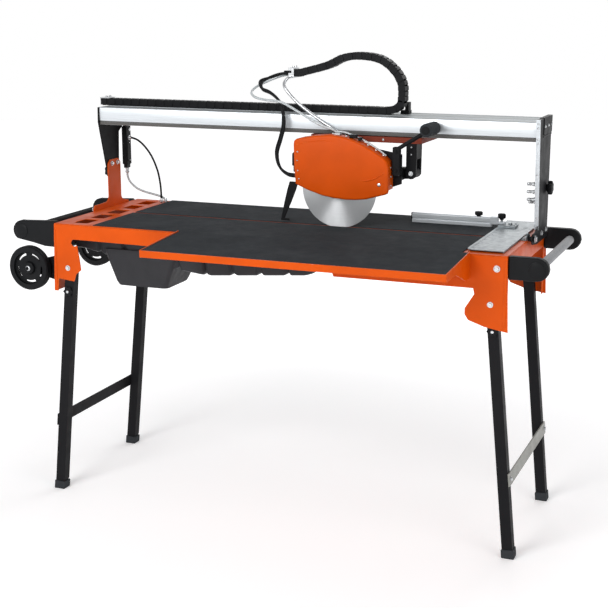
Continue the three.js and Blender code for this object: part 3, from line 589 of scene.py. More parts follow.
# ---- cable chain ----
CHAIN_PITCH = 16
CHAIN_THICK = 24
RUN_Z = BEAM_Z[1] + 0.3 + CHAIN_THICK / 2
RUN_POINTS = [*[(x, RUN_Z) for x in (-786, -400, 0, 200, 246)], (278, 1297), (297, 1311)]
LOOP_POINTS = [
    (302, 1322), (300, 1376), (278, 1415), (232, 1450), (161, 1462), (103, 1455), (52, 1432), (-50, 1404),
]


def chain_link(bm, middle, way, odd):
    """Two side plates with rounded ends, stepped in on every other link, and a bar above and below."""
    across = Vector((-way.z, 0, way.x))
    half = CHAIN_PITCH * 0.66 * MM
    rise = CHAIN_THICK / 2 * MM
    inset = 2.2 if odd else 0
    profile = []
    for end in (-1, 1):
        for k in range(5):
            angle = math.radians(-90 + 45 * k)
            reach = half - rise * 0.35 + rise * 0.35 * math.cos(angle)
            profile.append((end * reach, end * rise * math.sin(angle)))
    plane = [middle + way * a + across * b for a, b in profile]
    near, far = CHAIN_Y[0] + inset, CHAIN_Y[1] - inset
    for y0, y1 in ((near, near + 3), (far - 3, far)):
        rings = [[Vector((p.x, CUT_Y + y * MM, p.z)) for p in plane] for y in (y0, y1)]
        loft(bm, rings)
    for side in (-1, 1):
        bar = [(-0.4, 0.8), (0.4, 0.8), (0.4, 0.97), (-0.4, 0.97)]
        corners = [middle + way * half * a * 1.6 + across * rise * b * side for a, b in bar]
        rings = [
            [Vector((p.x, CUT_Y + y * MM, p.z)) for p in corners] for y in (CHAIN_Y[0] + 2, CHAIN_Y[1] - 2)
        ]
        loft(bm, rings)


def chain(bm, path):
    total = path_length(path)
    count = round(total / MM / CHAIN_PITCH)
    walked, due, k = 0.0, total / count / 2, 0
    for a, b in zip(path, path[1:]):
        span = (b - a).length
        while k < count and walked + span >= due:
            chain_link(bm, a + (b - a) * ((due - walked) / span), (b - a).normalized(), k % 2)
            k += 1
            due += total / count
        walked += span


def chain_path(points, steps):
    middle = sum(CHAIN_Y) / 2
    return spline([at(x, middle, z) for x, z in points], steps)


run = piece("chain_links_run", lambda bm: chain(bm, chain_path(RUN_POINTS + LOOP_POINTS[:1], 400)),
            "black_plastic", None, 0.5, ["cable_chain_run"])
loop = piece("chain_links_loop", lambda bm: chain(bm, chain_path(LOOP_POINTS, 300)),
             "black_plastic", None, 0.5, ["cable_chain_loop"])
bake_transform(run)
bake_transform(loop)


# ---- table ----
def ribbed_mat(name, x, y, top, stands_for, pitch=7, thick=2.6):
    """A mat with fine ribs along X. top gives the surface's height at each Y."""
    count = round((y[1] - y[0]) / pitch)
    step = (y[1] - y[0]) / count
    section = []
    for i in range(count):
        start = y[0] + i * step
        for part, height in ((0.0, -0.9), (0.12, 0), (0.72, 0), (0.84, -0.9)):
            section.append((start + step * part, top(start + step * part) + height))
    section.append((y[1], top(y[1]) - 0.9))
    section.append((y[1], top(y[1]) - thick))
    section.append((y[0], top(y[0]) - thick))
    piece(name, lambda bm: prism(bm, section, *x, "x"), "rubber", "frame", 0, [stands_for])


MAT_X = (-605, 617)
ribbed_mat("front_mat_ribs", MAT_X, (FRONT_Y + 2, -8), lambda y: TABLE_TOP, "front_table_mat")
ribbed_mat("rear_mat_ribs", MAT_X, (8, DECK_REAR_Y - 2), lambda y: TABLE_TOP, "rear_table_mat")
EXTENSION_X = (-298, 641)
EXTENSION_Y = (-528, -277.3)
EXTENSION_DROP = 15


def extension_top(y):
    share = (EXTENSION_Y[1] - y) / (EXTENSION_Y[1] - EXTENSION_Y[0])
    return TABLE_TOP - EXTENSION_DROP * share


ribbed_mat("extension_mat_ribs", (EXTENSION_X[0] + 3.3, EXTENSION_X[1] - 3.3),
           (EXTENSION_Y[0] + 1.5, EXTENSION_Y[1]), extension_top, "extension_mat")

carry_over(
    "orange_paint", 1.2, "front_panel", "rear_panel", "left_end_panel", "right_end_panel", "table_deck"
)
carry_over("orange_paint", 1.0, "extension_panel")

PIVOT_X, PIVOT_Z = 704, 782
BRACKET_BOLT = (720, 889)


def frame_bolts(bm):
    for face, way in ((FRONT_Y, FRONT), (REAR_Y, REAR)):
        bolt(bm, at(BRACKET_BOLT[0], face, BRACKET_BOLT[1]), way, 7.2, 5.6)
        for side in (-1, 1):
            bolt(bm, at(side * PIVOT_X, face, PIVOT_Z), way, 6.5, 4)


piece("frame_bolts", frame_bolts, "steel", "frame", 0.4)


def panel_strips(bm):
    """Folded rims on the frame's corner posts."""
    for y0, y1 in ((FRONT_Y - 1.6, FRONT_Y + 1), (REAR_Y - 1, REAR_Y + 1.6)):
        for x0, x1 in ((-END_X, -END_X + 5), (END_X - 7, END_X)):
            box(bm, (x0, x1), (y0, y1), (715, 912))


piece("corner_rims", panel_strips, "orange_paint", "frame", 0.8)


# ---- scale plate and fence ----
def scale_outline():
    x0, x1, y0, y1 = 620, 731, -245, 285
    r = 20
    corner = [(x0 + r - r * math.cos(a), y0 + r - r * math.sin(a)) for a in (0, 0.4, 0.8, 1.2, math.pi / 2)]
    return [*corner, (x1, y0), (x1, y1), (x0, y1)]


def scale_sheet(bm):
    prism(bm, scale_outline(), 932, 935, "z")
    box(bm, (624, 627), (-225, 283), (928.3, 933))
    box(bm, (728, 731), (-243, 283), (928.3, 933))


piece("ruled_plate", scale_sheet, "zinc", "frame", 0.6, ["scale_plate"])
FENCE_PIVOT = (631, 156)
FENCE_CLAMP_X = 556


def scale_marks(bm):
    """Millimetre marks along the plate and degree marks round the fence's pivot."""
    for i in range(53):
        length = 16 if i % 5 == 0 else 8
        y = -222 + i * 9
        if y < 100:
            box(bm, (627, 627 + length), (y - 0.6, y + 0.6), (934.9, 935.15))
    for i in range(19):
        angle = math.radians(-78 + i * 5)
        along = Vector((math.cos(angle), math.sin(angle), 0))
        side = Vector((-along.y, along.x, 0))
        near, far = (70, 84) if i % 3 == 0 else (76, 84)
        ends = [(near, -0.5), (far, -0.5), (far, 0.5), (near, 0.5)]
        flat = [along * a + side * b for a, b in ends]
        corners = [(FENCE_PIVOT[0] + p.x, FENCE_PIVOT[1] + p.y) for p in flat]
        prism(bm, corners, 934.9, 935.15, "z")


piece("scale_marks", scale_marks, "black_plastic", "frame", 0)


def fence_profile():
    """A slotted extrusion in Y and Z, round-shouldered at the top."""
    y = FENCE_PIVOT[1]
    low, high = TABLE_TOP + 2, TABLE_TOP + 33
    return [
        (y - 8, low), (y + 8, low), (y + 8, low + 10), (y + 5, low + 11), (y + 5, low + 15),
        (y + 8, low + 16),
        (y + 8, high - 3), (y + 6, high), (y + 2.5, high), (y + 2, high - 4), (y - 2, high - 4),
        (y - 2.5, high), (y - 6, high), (y - 8, high - 3), (y - 8, low + 16), (y - 5, low + 15),
        (y - 5, low + 11), (y - 8, low + 10),
    ]


def fence_bar(bm):
    x, y = FENCE_PIVOT
    prism(bm, fence_profile(), 336, 600, "x")
    box(bm, (596, 620), (y - 10, y + 10), (942, 966))
    turns = [math.pi * (k / 6 - 0.5) for k in range(7)]
    tongue = [(x + 14 * math.cos(a), y + 9 * math.sin(a)) for a in turns]
    prism(bm, [*tongue, (600, y + 9), (600, y - 9)], 944, 951.3, "z")


piece("fence_extrusion", fence_bar, "aluminium", "fence_arm", 0.5, ["fence_bar"])


def fence_end_cap(bm):
    y = FENCE_PIVOT[1]
    box(bm, (334, 337), (y - 8.5, y + 8.5), (TABLE_TOP + 1.8, TABLE_TOP + 33.2))


piece("fence_end_cap", fence_end_cap, "black_plastic", "fence_arm", 0.6)


def fence_shoe(bm):
    x, y = FENCE_PIVOT
    box(bm, (x - 7, x + 49), (y - 24, y + 24), (935.3, 943.2))
    lathe(bm, [(4, 0), (4, 14)], at(x, y, 943), UP, 16)
    bolt(bm, at(x + 28, y, 943), UP, 6, 5)
    for side in (-1, 1):
        screw(bm, at(x + 42, y + side * 16, 943), UP, 3.4)


piece("fence_shoe_block", fence_shoe, "zinc", "fence_slider", 0.6, ["fence_shoe"])
# the pivot knob stands on the pivot pin and the other one on the bar
piece("fence_pivot_star", lambda bm: star_knob(bm, at(*FENCE_PIVOT, 957.6), UP, 13, 20),
      "black_plastic", "fence_slider_clamp", 0, ["fence_pivot_knob"])
piece("fence_bar_star", lambda bm: star_knob(bm, at(FENCE_CLAMP_X, FENCE_PIVOT[1], 964.3), UP, 13, 16),
      "black_plastic", "fence_arm_clamp", 0, ["fence_bar_knob"])


# ---- water tray ----
def tray_floor(x):
    """Height of the trough's underside along X."""
    line = [(-735, 838), (-683, 838), (-605, 820), (-243, 776), (99, 804), (188, 833), (620, 848)]
    for (x0, z0), (x1, z1) in zip(line, line[1:]):
        if x <= x1:
            return z0 + (z1 - z0) * (x - x0) / (x1 - x0)
    return line[-1][1]


def tray_section(x, floor, y, draft, corner=14):
    """An open trough's section: rim, side, rounded corner and floor, front to rear."""
    top = 866
    front, rear = y
    lean = draft * (top - floor) / 60
    corner = min(corner, (top - floor) * 0.45)
    points = [(front - 6, top), (front - 6, top + 2), (front, top + 2)]
    points += [(front + lean, floor + corner), (front + lean + corner * 0.3, floor + corner * 0.3)]
    points += [(front + lean + corner, floor), (rear - lean - corner, floor)]
    points += [(rear - lean - corner * 0.3, floor + corner * 0.3), (rear - lean, floor + corner)]
    points += [(rear, top + 2), (rear + 6, top + 2), (rear + 6, top)]
    wall = 2.6
    middle = (front + rear) / 2
    back = [
        (a + (wall if a < middle else -wall), b + (wall if b < top else 0)) for a, b in reversed(points[2:-2])
    ]
    return [at(x, a, b) for a, b in points + back]


TRAY_RIBS = 95  # distance between the moulded ribs


def trough(bm):
    rings = []
    steps = 160
    for i in range(steps + 1):
        x = -733 + 1351 * i / steps
        wave = abs(math.sin(math.pi * (x + 243) / TRAY_RIBS))
        groove = 11 * max(0.0, 1 - wave * 3.2)
        rings.append(tray_section(x, tray_floor(x) + groove, (-219 + groove, 197 - groove), 10))
    loft(bm, rings)


def basin(bm):
    """The deep end under the slotted deck, narrower at its floor."""
    levels = [(845, 0, 0), (800, 5, 12), (735, 14, 32), (722, 20, 38), (719, 32, 50)]
    front, rear = -220, -16
    left, right = -603, -334
    rings = []
    for z, lean_y, lean_x in levels:
        slope = (845 - z) / 126
        x0, x1 = left + lean_x * 0.9 + slope * 6, right - slope * 44 - lean_x * 0.2
        y0, y1 = front + lean_y, rear - lean_y
        r = 16
        corners = []
        middles = [(x1 - r, y1 - r), (x0 + r, y1 - r), (x0 + r, y0 + r), (x1 - r, y0 + r)]
        for (cx, cy), start in zip(middles, (0, 90, 180, 270)):
            for k in range(4):
                a = math.radians(start + 30 * k)
                corners.append(at(cx + r * math.cos(a), cy + r * math.sin(a), z))
        rings.append(corners)
    loft(bm, rings)


def tray(bm):
    trough(bm)
    basin(bm)


piece("moulded_tray", tray, "tray_plastic", "frame", 1.4, ["water_tray"])
carry_over("black_plastic", 2, "water_pump")


# ---- carry handles and wheels ----
for side in ("left", "right"):
    carry_over("black_plastic", 5, f"{side}_handle_arm_front", f"{side}_handle_arm_rear")
carry_over("black_paint", 0.8, "left_handle_tube", "wheel_bracket_front", "wheel_bracket_rear")
LEFT_NOSE = (-880, 894)
RIGHT_NOSE = (834, 892)
HANDLE_FACE = 270


def handle_bosses(bm):
    """Oval domes that cover the tube's ends."""
    for x, z in (LEFT_NOSE, RIGHT_NOSE):
        for side, way in ((-1, FRONT), (1, REAR)):
            dome = [(24, -1), (23.5, 1.5), (20, 3.2), (12, 4.2), (3, 4.6)]
            lathe(bm, dome, at(x, side * HANDLE_FACE, z), way, 40)


piece("handle_bosses", handle_bosses, "black_plastic", "frame", 0)


def foam_sleeve(bm):
    x, z = RIGHT_NOSE
    half = [(14, 80), (14, 236), (12.5, 240), (9, 241)]
    profile = [*[(radius, -y) for radius, y in reversed(half)], (13.7, 0), *half]
    lathe(bm, profile, at(x, 0, z), REAR, 36)


piece("foam_sleeve", foam_sleeve, "foam", "frame", 0, ["right_handle_foam"])
WHEEL = (-889, 758)
WHEEL_Y = 216
TYRE = [(56, -14), (71, -14), (75, -10), (75, -6), (73.6, -5), (73.6, -1.5), (75, -0.8), (75, 0.8)]


def wheel_shape(bm, side):
    """A tyre with two grooves, a web with five curved windows, and a hub."""
    x, z = WHEEL
    centre = at(x, side * WHEEL_Y, z)
    half = [*TYRE, *[(r, -h) for r, h in reversed(TYRE)]]
    rings = [circle(centre + REAR * h * MM, REAR, r, 64) for r, h in [*half, half[0]]]
    loft(bm, rings, caps=False)
    hub = [(6.5, -14), (17, -14), (20, -12), (22, -4), (22, 4), (20, 12), (17, 14), (6.5, 14)]
    lathe(bm, hub, centre, REAR, 40)
    web(bm, centre)


def web(bm, centre):
    spokes, per_spoke = 5, 12
    radii = [20, 43, 50, 58]
    total = spokes * per_spoke
    for i in range(total):
        open_part = 3 <= i % per_spoke <= per_spoke - 2
        for inner, outer in zip(radii, radii[1:]):
            if open_part and inner == 43:
                continue
            rings = []
            for depth in (-4, 4):
                ring = []
                for r, k in ((inner, i), (outer, i), (outer, i + 1), (inner, i + 1)):
                    a = 2 * math.pi * k / total + 0.25
                    ring.append(centre + Vector((r * math.cos(a), depth, r * math.sin(a))) * MM)
                rings.append(ring)
            loft(bm, rings)


for end, side in (("front", -1), ("rear", 1)):
    piece(f"wheel_{end}_moulding", lambda bm, side=side: wheel_shape(bm, side), "black_plastic",
          f"{end}_transport_wheel", 0, [f"wheel_{end}"])


def axle_caps(bm):
    x, z = WHEEL
    for side, way in ((-1, FRONT), (1, REAR)):
        lathe(bm, [(9, 0), (9, 1.5), (6, 4.5), (2, 5.5)], at(x, side * (WHEEL_Y + 14.5), z), way, 24)


piece("axle_caps", axle_caps, "steel", "frame", 0)


# ---- legs ----
carry_over("black_paint", 2.2, "leg_left_front", "leg_left_rear", "leg_right_front", "leg_right_rear")
carry_over("rubber", 2.5, "foot_left_front", "foot_left_rear", "foot_right_front", "foot_right_rear")
carry_over("black_paint", 0.8, "crossbar_left")
carry_over("grey_paint", 0.8, "crossbar_right")
SPLAY = math.atan2(77, PIVOT_Z)
LOCK_DOWN = 82  # the lock knob, down the leg from its pivot
CROSSBAR_DOWN = 537
LEG_Y = 249


def down_leg(side, distance, y, out=0.0):
    """A point on a leg, that far down from its pivot, and out from its middle line."""
    x = PIVOT_X + math.sin(SPLAY) * distance + math.cos(SPLAY) * out
    z = PIVOT_Z - math.cos(SPLAY) * distance + math.sin(SPLAY) * out
    return at(side * x, y, z)


for name, side in (("left", -1), ("right", 1)):
    def lock(bm, side=side):
        centre = down_leg(side, LOCK_DOWN, -265.8)
        lathe(bm, [(10, 0), (10, 1.5)], centre, FRONT, 24)
        lathe(bm, [(14, 1), (17, 1.6), (18, 3), (17.6, 5), (15, 6.2), (5, 6.4)], centre, FRONT, 72, 6, 0.24)

    def lock_bolt(bm, side=side):
        bolt(bm, down_leg(side, LOCK_DOWN, -272), FRONT, 5, 3, washer=False)

    def bar_bolts(bm, side=side):
        for y in (-LEG_Y, LEG_Y):
            centre = down_leg(side, CROSSBAR_DOWN, y, 22)
            bolt(bm, centre, Vector((side * math.cos(SPLAY), 0, math.sin(SPLAY))), 5.5, 4)

    def hinge_bolt(bm, side=side):
        bolt(bm, down_leg(side, 30, 266), REAR, 7, 4)
        bolt(bm, down_leg(side, 0, -265.6), FRONT, 7, 2, washer=False)

    piece(f"leg_lock_star_{name}", lock, "black_plastic", f"{name}_leg_lock", 0, [f"leg_lock_knob_{name}"])
    piece(f"leg_lock_bolt_{name}", lock_bolt, "steel", f"{name}_leg_lock", 0.3)
    piece(f"crossbar_bolts_{name}", bar_bolts, "steel", f"{name}_legs", 0.3)
    piece(f"leg_bolts_{name}", hinge_bolt, "steel", f"{name}_legs", 0.3)


# ---- bridge: beam and arms ----
def beam_section():
    """Outer and inner outlines of the beam's extrusion, point for point."""
    (y0, y1), (z0, z1) = BEAM_Y, BEAM_Z
    lip = 10  # the lower rail, set back under a groove
    outer = [
        (y0 + 2, z0), (y0 + 0.6, z0 + 1.4), (y0 + 0.6, z0 + lip - 1), (y0 + 3.4, z0 + lip),
        (y0 + 3.4, z0 + lip + 2.4), (y0, z0 + lip + 3.4), (y0, z1 - 5), (y0 + 1.4, z1 - 1.5), (y0 + 5, z1),
        (y0 + 54, z1), (y0 + 56, z1 - 3), (y0 + 68, z1 - 3), (y0 + 70, z1), (y1 - 24, z1), (y1 - 22, z1 - 3),
        (y1 - 10, z1 - 3), (y1 - 8, z1), (y1 - 3, z1), (y1, z1 - 3), (y1, z0 + 3), (y1 - 3, z0),
    ]
    wall = 5
    inner = [
        (min(max(y, y0 + wall + 3), y1 - wall), min(max(z, z0 + wall), z1 - wall - 3)) for y, z in outer
    ]
    return outer, inner


def extruded_beam(bm):
    outer, inner = beam_section()
    ends = []
    for x in BEAM_X:
        ends.append([[bm.verts.new(at(x, y, z)) for y, z in line] for line in (outer, inner)])
    count = len(outer)
    for k in range(count):
        j = (k + 1) % count
        for ring in (0, 1):
            quad = (ends[0][ring][k], ends[0][ring][j], ends[1][ring][j], ends[1][ring][k])
            bm.faces.new(quad)
        for end in ends:
            bm.faces.new((end[0][k], end[0][j], end[1][j], end[1][k]))
    bmesh.ops.remove_doubles(bm, verts=bm.verts, dist=0.01 * MM)


INSET_X = (BEAM_X[0] + 0.3, BEAM_X[1] - 0.3)  # the darker top strips, which are painted shade, and the rail stop just short of the beam's ends


def beam_top_painted_shade(bm):
    """Darker strips over the beam's top, between its grooves: painted shade, as the top is lit less than the
    front.
    """
    for y0, y1 in ((BEAM_Y[0] + 1.5, 99.5), (117, 211), (225, BEAM_Y[1] - 1)):
        box(bm, INSET_X, (y0, y1), (BEAM_Z[1] - 0.4, BEAM_Z[1] + 0.2))


def beam_rail(bm):
    """The darker guide rail along the beam's lower front edge."""
    box(bm, INSET_X, (BEAM_Y[0] - 0.2, BEAM_Y[0] + 3), (BEAM_Z[0] + 0.6, BEAM_Z[0] + 9.4))
    box(bm, INSET_X, (BEAM_Y[0] + 3, BEAM_Y[0] + 3.5), (BEAM_Z[0] + 9, BEAM_Z[0] + 13))


piece("beam_extrusion", extruded_beam, "aluminium", "bridge", 0, ["beam"])
# the beam's top is darkened with painted shade
piece("beam_top_painted_shade", beam_top_painted_shade, "aluminium", "bridge", 0.3).data.materials[0] = MATERIALS["painted_shade_aluminium"]
piece("beam_rail", beam_rail, "aluminium", "bridge", 0.4).data.materials[0] = MATERIALS["rail"]
carry_over("orange_paint", 1.0, "left_arm_upright")
carry_over("black_paint", 0.8, "left_arm_plate")
carry_over("black_paint", 0.6, "right_arm")
ARM_X = (752, 767.5)
RIGHT_ARM_REAR = 212


def arm_front(z):
    """Y of the right arm's front edge at a height."""
    return 70 - (z - 950) / (1287 - 950) * 33


# a silver strip on the black arm's front edge stands in for the light that this edge reflects: painted
# reflection
def arm_edge_reflection(bm):
    rings = []
    for x in (752.6, 765.4):
        ring = [at(x, arm_front(z) + d, z) for z, d in ((946, -1.6), (1287, -1.6), (1287, 1), (946, 1))]
        rings.append(ring)
    loft(bm, rings)


def arm_screws(bm):
    for z in (985, 1120, 1215, 1228, 1262, 1275):
        screw(bm, at(759, arm_front(z) - 1.6, z), FRONT, 3.2)


def arm_cap(bm):
    rear = RIGHT_ARM_REAR + 1
    box(bm, ARM_X, (90, rear), (1236, 1289))
    box(bm, (ARM_X[0] + 0.5, ARM_X[1] - 0.7), (86, rear), (1229, 1234))


def arm_studs(bm):
    """Adjusting studs with nuts and springs on the arm's inner face."""
    for y, z in ((58, 1090), (60, 1066), (64, 1042), (88, 1030)):
        centre = at(753, y, z)
        lathe(bm, [(3, 0), (3, 26)], centre, LEFT, 12)
        bolt(bm, centre + LEFT * 3 * MM, LEFT, 5.5, 5)
        coil = []
        for k in range(49):
            angle = 2 * math.pi * k / 12
            offset = Vector((0, math.cos(angle), math.sin(angle))) * 5 * MM
            coil.append(centre + LEFT * (10 + k * 0.25) * MM + offset)
        sweep(bm, coil, 0.8, 6)
        bolt(bm, centre + LEFT * 22 * MM, LEFT, 4.5, 3, washer=False)


# painted reflection along the right arm's front edge
piece("right_arm_edge_reflection", arm_edge_reflection, "aluminium", "bridge", 0.5)
piece("right_arm_screws", arm_screws, "steel", "bridge", 0)
piece("beam_end_cap", arm_cap, "black_plastic", "bridge", 1.4)
piece("arm_stop_studs", arm_studs, "steel", "bridge", 0)


def arm_bolts(bm):
    for y, z in ((112, 1078), (150, 1078)):
        bolt(bm, at(-750.3, y, z), RIGHT, 6, 5)
        bolt(bm, at(-758.6, y + 3, z - 6), LEFT, 6, 4)
    for y in (70, 120, 170):
        bolt(bm, at(-758.6, y, 1248), LEFT, 6, 4)
        bolt(bm, at(767.4, y + 30, 1262), RIGHT, 3.5, 2.5)
    bolt(bm, at(771, 0, TABLE_TOP), RIGHT, 8, 5)
    bolt(bm, at(-760.3, 0, TABLE_TOP), LEFT, 8, 5)
    bolt(bm, at(765, 120, 930), RIGHT, 6, 4)
    bolt(bm, at(765, 190, 930), RIGHT, 6, 4)


piece("arm_bolts", arm_bolts, "steel", "bridge", 0.3)
piece("left_arm_star", lambda bm: star_knob(bm, at(-758.9, 125, 1050), LEFT, 22, 20),
      "black_plastic", "left_arm_clamp", 0, ["left_arm_knob"])
piece("right_arm_star", lambda bm: star_knob(bm, at(765.3, 175, 1065), RIGHT, 22, 20),
      "black_plastic", "right_arm_clamp", 0, ["right_arm_knob"])


def tilt_bracket(bm):
    """The lug on the table's end that carries the tilt pin."""
    outline = [(-26, 926), (30, 926), (30, 940)]
    outline += [(16 * math.cos(a), 933 + 16 * math.sin(a)) for a in (0.6, 1.1, 1.6, 2.1, 2.6)]
    outline += [(-26, 940)]
    prism(bm, outline, 744, 749.6, "x")
    box(bm, (733, 749), (-24, 28), (928.2, 931))
    for y in (-16, 20):
        bolt(bm, at(740, y, 931), UP, 5, 4)


piece("tilt_bracket", tilt_bracket, "zinc", "frame", 0.6)


def chain_anchor(bm):
    """The angle that holds the chain's fixed end, with its two screws."""
    box(bm, (-792, -756), (118, 162), (1303, 1305.5))
    box(bm, (-792, -789.5), (118, 162), (1280, 1305))
    for y in (128, 152):
        bolt(bm, at(-772, y, 1305.5), UP, 5, 4)


piece("chain_anchor", chain_anchor, "steel", "bridge", 0.5)


# ---- plug box ----
def plug_box(bm):
    box(bm, (-750, -730), (186, 216), (1066, 1200))
    box(bm, (-747, -733), (189, 213), (1053, 1218.7))
    box(bm, (-731, -728.5), (189, 213), (1076, 1146))
    for k in range(6):
        box(bm, (-747, -733), (184.6, 186.5), (1084 + k * 8, 1087 + k * 8))


def plug_fittings(bm):
    lathe(bm, [(8, 0), (8, 4), (6, 5), (6, 9), (4.4, 12)], at(-731, 200, 1160), RIGHT, 24)
    lathe(bm, [(8, 0), (8, 6), (6.5, 7), (6.5, 12), (8, 13), (8, 18), (5, 21)], at(-740, 201, 1054), -UP, 24)
    lathe(bm, [(6, 0), (6, 3), (4, 5)], at(-731, 204, 1188), RIGHT, 24)
    for z in (1080, 1142):
        screw(bm, at(-728.5, 201, z), RIGHT, 2.2)


piece("socket_box", plug_box, "black_plastic", "bridge", 2, ["plug_box"])
piece("socket_fittings", plug_fittings, "steel", "bridge", 0)


def lead_clip(bm):
    """Glands where the box's lead and the feed hose pass through the table."""
    for x, y, _ in (PLUG_LEAD[-1], FEED_HOSE[-1]):
        lathe(bm, [(7, 0), (7, 3), (5.6, 4), (5.6, 9), (4.6, 13)], at(x, y, DECK_TOP + 3), UP, 24)


piece("lead_gland", lead_clip, "steel", "frame", 0)


# ---- carriage ----
# the carriage plate's red-brown colour is painted shade for its place in the beam's shadow
carry_over("red_primer", 0.8, "carriage_plate")
carry_over("black_paint", 1.0, "hinge_bracket", "head_plate")


def top_guide(bm):
    """The carriage's guide block on top of the beam, behind the chain."""
    box(bm, (284, 312), (172, 204), (BEAM_Z[1] + 0.6, 1290))
    box(bm, (298, 310), (174, 202), (1289, 1316))
    lathe(bm, [(7, 0), (7, 5), (5, 6)], at(304, 188, 1310), LEFT, 20)


piece("top_guide", top_guide, "black_plastic", "carriage", 1.2)


def carriage_screws(bm):
    for x in (60, 160, 270, 370):
        screw(bm, at(x, 40, 1208), FRONT, 4)
    for z in (1165, 1188):
        screw(bm, at(363, 40, z), FRONT, 3)
    bolt(bm, at(362, 40, 1105), FRONT, 5.5, 4)


piece("carriage_screws", carriage_screws, "steel", "carriage", 0.3)
HOLDER_PATH = [
    (-74, 130, 1392), (-74, 80, 1386), (-66, 39, 1366), (-20, 33, 1318), (60, 33, 1262), (118, 33, 1226),
    (124, 33, 1207),
]


def holder(bm):
    box(bm, (-84, -64.5), (116, 164), (1388, 1421))
    sweep(bm, spline([at(*p) for p in HOLDER_PATH], 60), 5, 16)
    box(bm, (108, 136), (16, 39.7), (1199, 1211))


def holder_screws(bm):
    for y in (122, 140, 158):
        bolt(bm, at(-74, y, 1421), UP, 4.5, 4)
    for x in (113, 131):
        screw(bm, at(x, 20, 1211), UP, 3)


def chain_end(bm):
    """The chain's last plate and the glands that its leads leave by."""
    box(bm, (-66, -44), (122, 158), (1392, 1416))
    for y, z in ((130, 1402), (151, 1396)):
        lathe(bm, [(8, 0), (8, 5), (6.5, 6), (6.5, 11), (4.8, 15)], at(-83, y, z), LEFT, 20)
    lathe(bm, [(4, 0), (4, 22), (2.5, 24)], at(-74, 118, 1408), (LEFT + FRONT * 0.4).normalized(), 12)


piece("chain_stay", holder, "steel", "carriage", 0.8, ["chain_holder"])
piece("chain_stay_screws", holder_screws, "steel", "carriage", 0)
piece("chain_end_glands", chain_end, "black_plastic", "carriage", 0.6)


# ---- saw head ----
GUARD_OUTLINE = [
    (2, 1064), (-3, 1120), (-5, 1192), (-3, 1202), (4, 1208), (18, 1212), (70, 1221), (120, 1225),
    (156, 1221), (192, 1212), (228, 1198), (262, 1180), (296, 1159), (308, 1148), (313, 1130), (314, 1060),
    (311, 1049), (300, 1044), (239, 1027), (206, 1023), (172, 1022), (132, 1025), (94, 1031), (40, 1048),
]


def guard(bm):
    """A pressed cover: a front face with a rolled rim, open behind and below."""
    centre_x, centre_z = 155, 1125

    def ring(inset, y):
        points = []
        for x, z in GUARD_OUTLINE:
            way = Vector((centre_x - x, centre_z - z)).normalized()
            points.append(at(x + way.x * inset, y, z + way.y * inset))
        return points

    depths = [(0, 8), (0, -31), (0.6, -34.4), (2, -37.2), (4.6, -39.3), (8, -40)]
    shell = [ring(inset, y) for inset, y in depths]
    inside = [ring(inset + 2.4, min(y + 2.4, 8)) for inset, y in depths]
    rows = [[bm.verts.new(p) for p in r] for r in shell]
    inner = [[bm.verts.new(p) for p in r] for r in inside]
    count = len(GUARD_OUTLINE)
    below = [GUARD_OUTLINE[i][1] < 1062 and GUARD_OUTLINE[(i + 1) % count][1] < 1062 for i in range(count)]
    for i in range(count):
        j = (i + 1) % count
        for level in range(len(depths) - 1):
            if below[i] and level == 0:
                continue
            bm.faces.new((rows[level][i], rows[level][j], rows[level + 1][j], rows[level + 1][i]))
            bm.faces.new((inner[level][j], inner[level][i], inner[level + 1][i], inner[level + 1][j]))
        lip = 1 if below[i] else 0
        bm.faces.new((rows[lip][i], inner[lip][i], inner[lip][j], rows[lip][j]))
        if below[i] != below[i - 1]:
            bm.faces.new((rows[0][i], rows[1][i], inner[1][i], inner[0][i]))
    bm.faces.new(rows[-1])
    bm.faces.new(reversed(inner[-1]))


piece("guard_shell", guard, "orange_paint", "saw_head", 0, ["blade_guard"])


def pressed_ridge(bm):
    """The swage that sweeps up across the guard's lower right."""
    points = [(222, 1088), (240, 1087), (262, 1092), (284, 1103), (303, 1117)]
    path = spline([at(x, GUARD_FRONT + 0.6, z) for x, z in points], 40)
    radii = [2.6 * min(1, 0.25 + 3 * min(i, len(path) - 1 - i) / len(path)) for i in range(len(path))]
    sweep(bm, path, radii, 12)
    ridge = ((8, 1190), (40, 1199), (90, 1206), (130, 1206))
    path = spline([at(x, GUARD_FRONT + 0.6, z) for x, z in ridge], 30)
    sweep(bm, path, 1.4, 10)


TOP_SCREWS = [(120, 1225), (164, 1219), (205, 1207), (236, 1194), (262, 1179), (287, 1164)]


def guard_screws_and_highlight_disc(bm):
    """A small bright steel disc at the guard's lower right, which stands in for a small oval highlight on the
    guard (painted highlight), and the screws round its edge.
    """
    lathe(bm, [(5.5, -2), (5.5, 0.8), (4, 1.6), (2, 1.8)], at(284, GUARD_FRONT, 1076), FRONT, 24)
    for x, z in ((4, 1168), (3, 1140), (5, 1108), (9, 1082)):
        screw(bm, at(x + 7, GUARD_FRONT, z), FRONT, 2.6)
    for x, z in TOP_SCREWS:
        screw(bm, at(x, -8, z + 0.5), UP, 4)
    for x, z in ((312, 1128), (314, 1100), (314, 1072)):
        screw(bm, at(x, -14, z), RIGHT, 3.5)
    box(bm, (128, 146), (-20, 2), (1224, 1229))


def guard_hose(bm):
    """The thin water pipe along the guard's top edge."""
    points = [
        (122, 2, 1232), (150, 0, 1232), (190, -2, 1221), (230, -4, 1204), (264, -6, 1186), (296, -8, 1164),
    ]
    sweep(bm, spline([at(*p) for p in points], 60), 3, 12)


piece("guard_ridges", pressed_ridge, "orange_paint", "saw_head", 0)
# the steel disc among the guard's fixings is a painted highlight
piece("guard_fixings_and_painted_highlight", guard_screws_and_highlight_disc, "steel", "saw_head", 0)
piece("guard_water_pipe", guard_hose, "clear_hose", "saw_head", 0)


